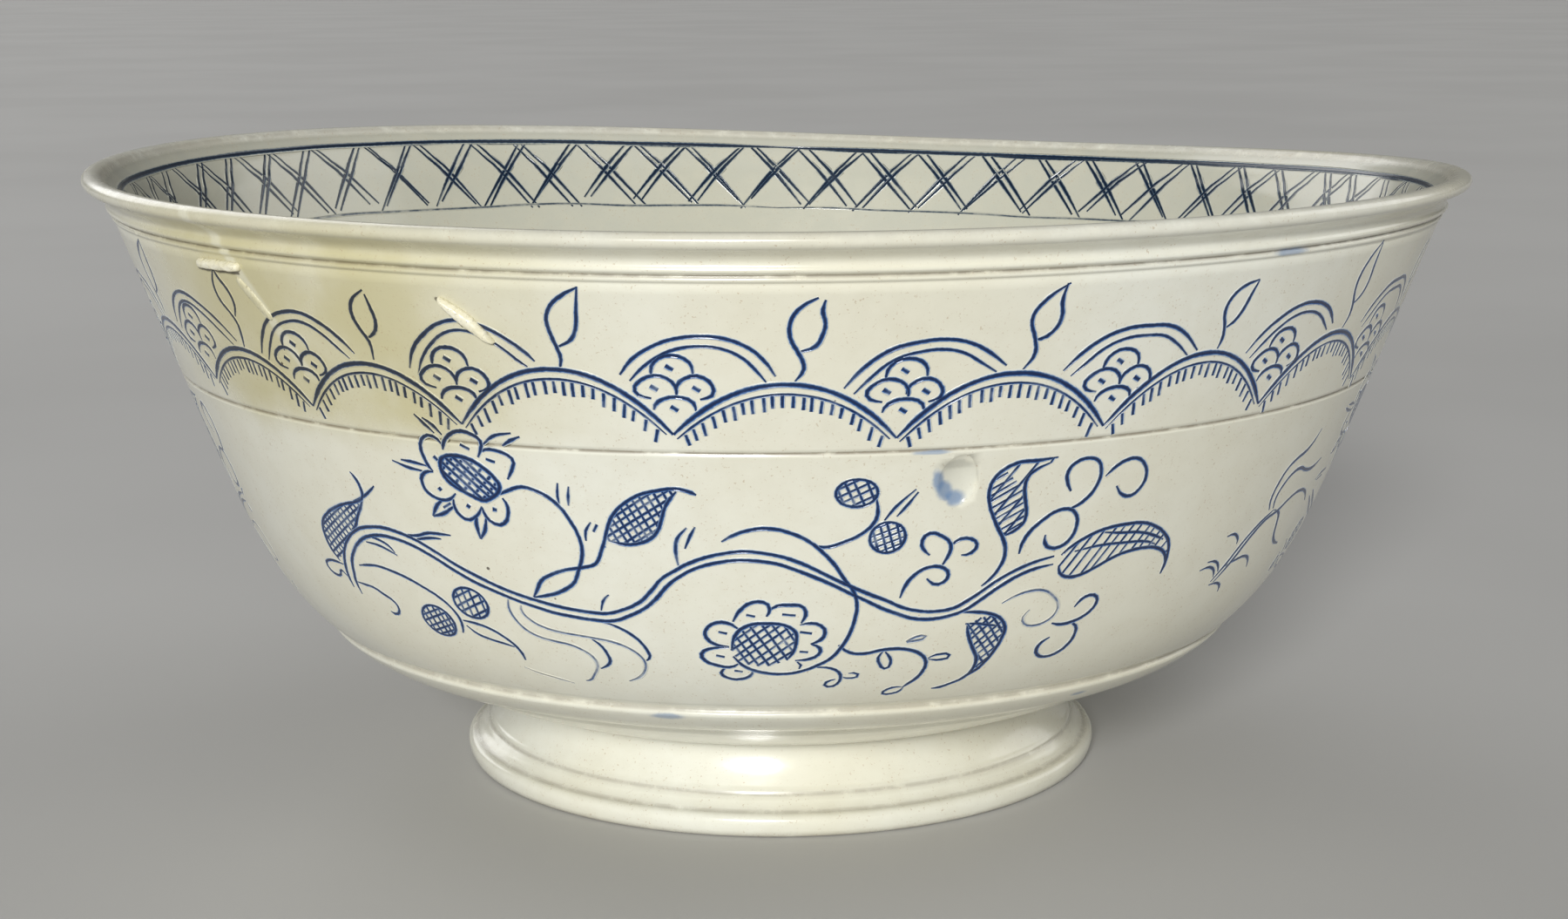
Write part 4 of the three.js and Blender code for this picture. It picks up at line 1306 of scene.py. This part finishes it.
chance.seed(11)
scratchPiece("scallopBorder", scallopStrokes(), outsideWall, cobaltLine, 80)
chance.seed(12)
scratchPiece("archesAndBuds", archStrokes() + budStrokes(), outsideWall, cobaltLine, 80)
wholeSpray = sprayStrokes + flowerStrokes
scratchPiece("frontSpray", wholeSpray, outsideWall, cobaltLine, 60)
rightSpray = rightStart + shifted(wholeSpray, 95.5, squeeze=0.95, least=-33.7)
scratchPiece("rightSpray", rightSpray, outsideWall, cobaltLine, 60)
scratchPiece("backSpray", shifted(wholeSpray, 181, 0.6), outsideWall, cobaltLine, 60)
scratchPiece("leftSpray", shifted(wholeSpray, -91, most=26), outsideWall, cobaltLine, 60)
chance.seed(13)
scratchPiece("insideTrellis", trellisStrokes(), insideWall, shadedInsideCobalt, 80)


# Old repairs: two rivet bars under paint, and filler in the crack between them
rivets = {   # how far below the rim, sizes in mm and tilt in degrees
    "riveted1": dict(node="rivet_upper", angle=-46.8, drop=2.9, length=14.0, width=2.0, tilt=1, pointed=0.1,
                     thick=1.35),
    "riveted2": dict(node="rivet_lower", angle=-22.8, drop=8.7, length=12.5, width=2.6, tilt=-42, pointed=0.8,
                     thick=1.3),
}
fillerStrip = dict(node="crack_filler", angle=-43.6, drop=8.6, length=10.4, width=2.4, tilt=-49, pointed=0.35,
                   thick=0.4)
sunk = -0.25   # mm, how deep a bar's back lies in the wall


def barMesh(name, bar, material, across=15, along=49, lumps=0.04):
    height = rimBase - bar["drop"]
    centre = math.radians(bar["angle"])
    tilt = math.radians(bar["tilt"])
    rough = random.Random(len(name))
    wobble = [rough.uniform(-1, 1) for _ in range(40)]

    def place(x, y, lift):
        sideways = x * math.cos(tilt) - y * math.sin(tilt)
        upwards = x * math.sin(tilt) + y * math.cos(tilt)
        level = height + upwards * math.sin(wallSlope(height))
        angle = math.degrees(centre + sideways / wallRadius(height))
        return onWall(angle, level, lift)

    corners, faces = [], []
    for side in (1, 0):
        for i in range(along):
            u = -1 + 2 * i / (along - 1)
            bulge = 1 - bar["pointed"] * abs(u) ** 1.7
            half = bar["width"] / 2 * bulge * (1 - abs(u) ** 14) ** 0.5
            half *= 1 + 0.08 * wobble[int((u + 1) * 12)]
            for j in range(across):
                v = -1 + 2 * j / (across - 1)
                lift = sunk
                if side:
                    dome = max(0, 1 - abs(v) ** 3.2) ** 0.6 * max(0, 1 - abs(u) ** 10) ** 0.5
                    dome *= 1 + lumps * wobble[int((u + 1) * 9 + v * 3 + 6)]
                    lift += (bar["thick"] - sunk) * dome
                corners.append(place(u * bar["length"] / 2, v * half, lift))
    step = across * along
    for i in range(along - 1):
        for j in range(across - 1):
            a = i * across + j
            faces.append((a, a + across, a + across + 1, a + 1))
            faces.append((step + a, step + a + 1, step + a + across + 1, step + a + across))
    mesh = bpy.data.meshes.new(name)
    mesh.from_pydata(corners, [], faces)
    piece = addToScene(name, mesh)
    weld = bmesh.new()
    weld.from_mesh(mesh)
    bmesh.ops.remove_doubles(weld, verts=weld.verts, dist=0.00001)
    bmesh.ops.recalc_face_normals(weld, faces=weld.faces)
    weld.to_mesh(mesh)
    weld.free()
    mesh.materials.append(material)
    mesh.shade_smooth()
    report(name, mesh)
    return piece


def repairMaterial(name, tone, worn, roughness):
    material, tree, surface = newMaterial(name, {"IOR": 1.48})
    place = objectPlace(tree)
    patches = noise(tree, place, 700.0, 4.0, 0.6)
    fine = noise(tree, place, 2600.0, 2.0)
    mix = mixColours(tree, ramp(tree, patches, 0.35, 0.7), tone, worn)
    mix = mixColours(tree, ramp(tree, fine, 0.62, 0.75, 0.0, 0.5), mix, glaze["grime"])
    rough = ramp(tree, patches, 0.2, 0.8, roughness - 0.06, roughness + 0.12)
    relief = calc(tree, "MULTIPLY_ADD", patches, 0.05, calc(tree, "MULTIPLY", fine, 0.015))
    finishSurface(tree, surface, mix, rough, relief)
    return material


print("making the repairs")
rivetPaint = repairMaterial("rivetPaint", colour(234, 228, 198), colour(246, 242, 220), 0.26)
fillerPaint = repairMaterial("fillerPaint", colour(204, 198, 163), colour(214, 209, 178), 0.36)
repairs = {bar["node"]: barMesh(name, bar, rivetPaint) for name, bar in rivets.items()}
repairs[fillerStrip["node"]] = barMesh("crackFilling", fillerStrip, fillerPaint, lumps=0.08)


# A shallow flake is struck out of the wall
def strikeChip():
    mesh = bpy.data.meshes.new("chipTool")
    shape = bmesh.new()
    bmesh.ops.create_icosphere(shape, subdivisions=4, radius=1)
    rough = random.Random(3)

    def anyWay():
        return Vector((rough.uniform(-1, 1), rough.uniform(-1, 1), rough.uniform(-1, 1))).normalized()

    bumps = [(anyWay(), rough.uniform(0.05, 0.14)) for _ in range(14)]
    height, around = chip["height"], math.radians(chip["angle"])
    slope = wallSlope(height)
    outward = Vector((math.sin(around), -math.cos(around), 0))
    sideways = Vector((math.cos(around), math.sin(around), 0))
    upward = outward * math.cos(slope) + Vector((0, 0, math.sin(slope)))
    normal = outward * math.sin(slope) - Vector((0, 0, math.cos(slope)))
    centre = Vector(onWall(chip["angle"], height))
    leanX, leanY = chip["lean"]
    for vertex in shape.verts:
        way = vertex.co.normalized()
        push = 1 + sum(size * max(0, way.dot(toward)) ** 6 for toward, size in bumps)
        x, y = way.x * push * chip["width"] / 2, way.y * push * chip["tall"] / 2
        deep = way.z * chip["depth"] * 1.9 + 0.62 * chip["depth"] - leanX * x - leanY * y
        vertex.co = centre + (sideways * x + upward * y + normal * deep) * mm
    shape.to_mesh(mesh)
    shape.free()
    mesh.materials.append(bodyGlaze)
    tool = addToScene("chipTool", mesh)
    cut = body.modifiers.new("chip", "BOOLEAN")
    cut.operation = "DIFFERENCE"
    cut.solver = "MANIFOLD"
    cut.object = tool
    bpy.context.view_layer.update()
    ready = body.evaluated_get(bpy.context.evaluated_depsgraph_get())
    chipped = bpy.data.meshes.new_from_object(ready)
    chipped.name = "bowlBody"
    body.modifiers.clear()
    body.data = chipped
    bpy.data.objects.remove(tool)
    report("chipped body", chipped)


strikeChip()

for leftover in (bodyOutline, footRing, outsideWall, insideWall, section):
    bpy.data.objects.remove(leftover)


# Floor, lights and camera
studio = {
    "floorRadius": 30,
    "floorTones": (colour(184, 183, 180), colour(190, 189, 186)),
    "air": (0.78, 0.79, 0.8, 1),
    "airStrength": 0.11,
    "lamps": {   # where each comes from, how many degrees wide it is, and its strength
        "key": ((-0.17, -1.0, 0.36), 14, 2.9),
        "overhead": ((0.1, -0.1, 1.0), 60, 0.3),
        "right": ((1.0, 0.45, 0.5), 40, 0.5),
        "behind": ((-0.6, 0.9, 0.6), 40, 0.7),
    },
}


def softFloor():
    mesh = bpy.data.meshes.new("floor")
    shape = bmesh.new()
    bmesh.ops.create_circle(shape, cap_ends=True, radius=studio["floorRadius"], segments=96)
    shape.to_mesh(mesh)
    shape.free()
    material, tree, surface = newMaterial("floorPaper", {"Roughness": 0.75})
    cloudy = ramp(tree, noise(tree, objectPlace(tree), 3.0, 3.0), 0.3, 0.7)
    tree.links.new(mixColours(tree, cloudy, *studio["floorTones"]), surface.inputs["Base Color"])
    mesh.materials.append(material)
    floor = addToScene("floor", mesh)


def softLight(name, toward, spread, strength):
    lamp = bpy.data.lights.new(name, "SUN")
    lamp.angle = math.radians(spread)
    lamp.energy = strength
    light = addToScene(name, lamp)
    light.location = toward
    light.rotation_euler = (-Vector(toward)).to_track_quat("-Z", "Y").to_euler()


print("setting the stage")
softFloor()
for name, (toward, spread, strength) in studio["lamps"].items():
    softLight(name, toward, spread, strength)
world = bpy.data.worlds.new("studio")
bpy.context.scene.world = world
world.use_nodes = True
around = world.node_tree.nodes["Background"].inputs
around["Color"].default_value = studio["air"]
around["Strength"].default_value = studio["airStrength"]

view = {
    "distance": 0.564,
    "height": 0.1723,
    "turn": 0.002,
    "tip": 0.1905,
    "roll": -0.006,
    "lens": 59.93,
}
lens = bpy.data.cameras.new("camera")
lens.sensor_width = 36
lens.lens = view["lens"]
camera = addToScene("camera", lens)
level = math.cos(view["tip"])
toward = Vector((math.sin(view["turn"]) * level, math.cos(view["turn"]) * level, -math.sin(view["tip"])))
turned = toward.to_track_quat("-Z", "Y").to_matrix().to_4x4() @ Matrix.Rotation(view["roll"], 4, "Z")
camera.matrix_world = Matrix.Translation((0, -view["distance"], view["height"])) @ turned
bpy.context.scene.camera = camera
bpy.context.scene.view_settings.view_transform = "Standard"

# Hand the pieces over to the frame
for piece in [body, footPiece, *decoration, *repairs.values()]:
    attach(piece, "root")
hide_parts("bowl_body")
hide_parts("foot_ring")
for node, piece in repairs.items():
    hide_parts(node)
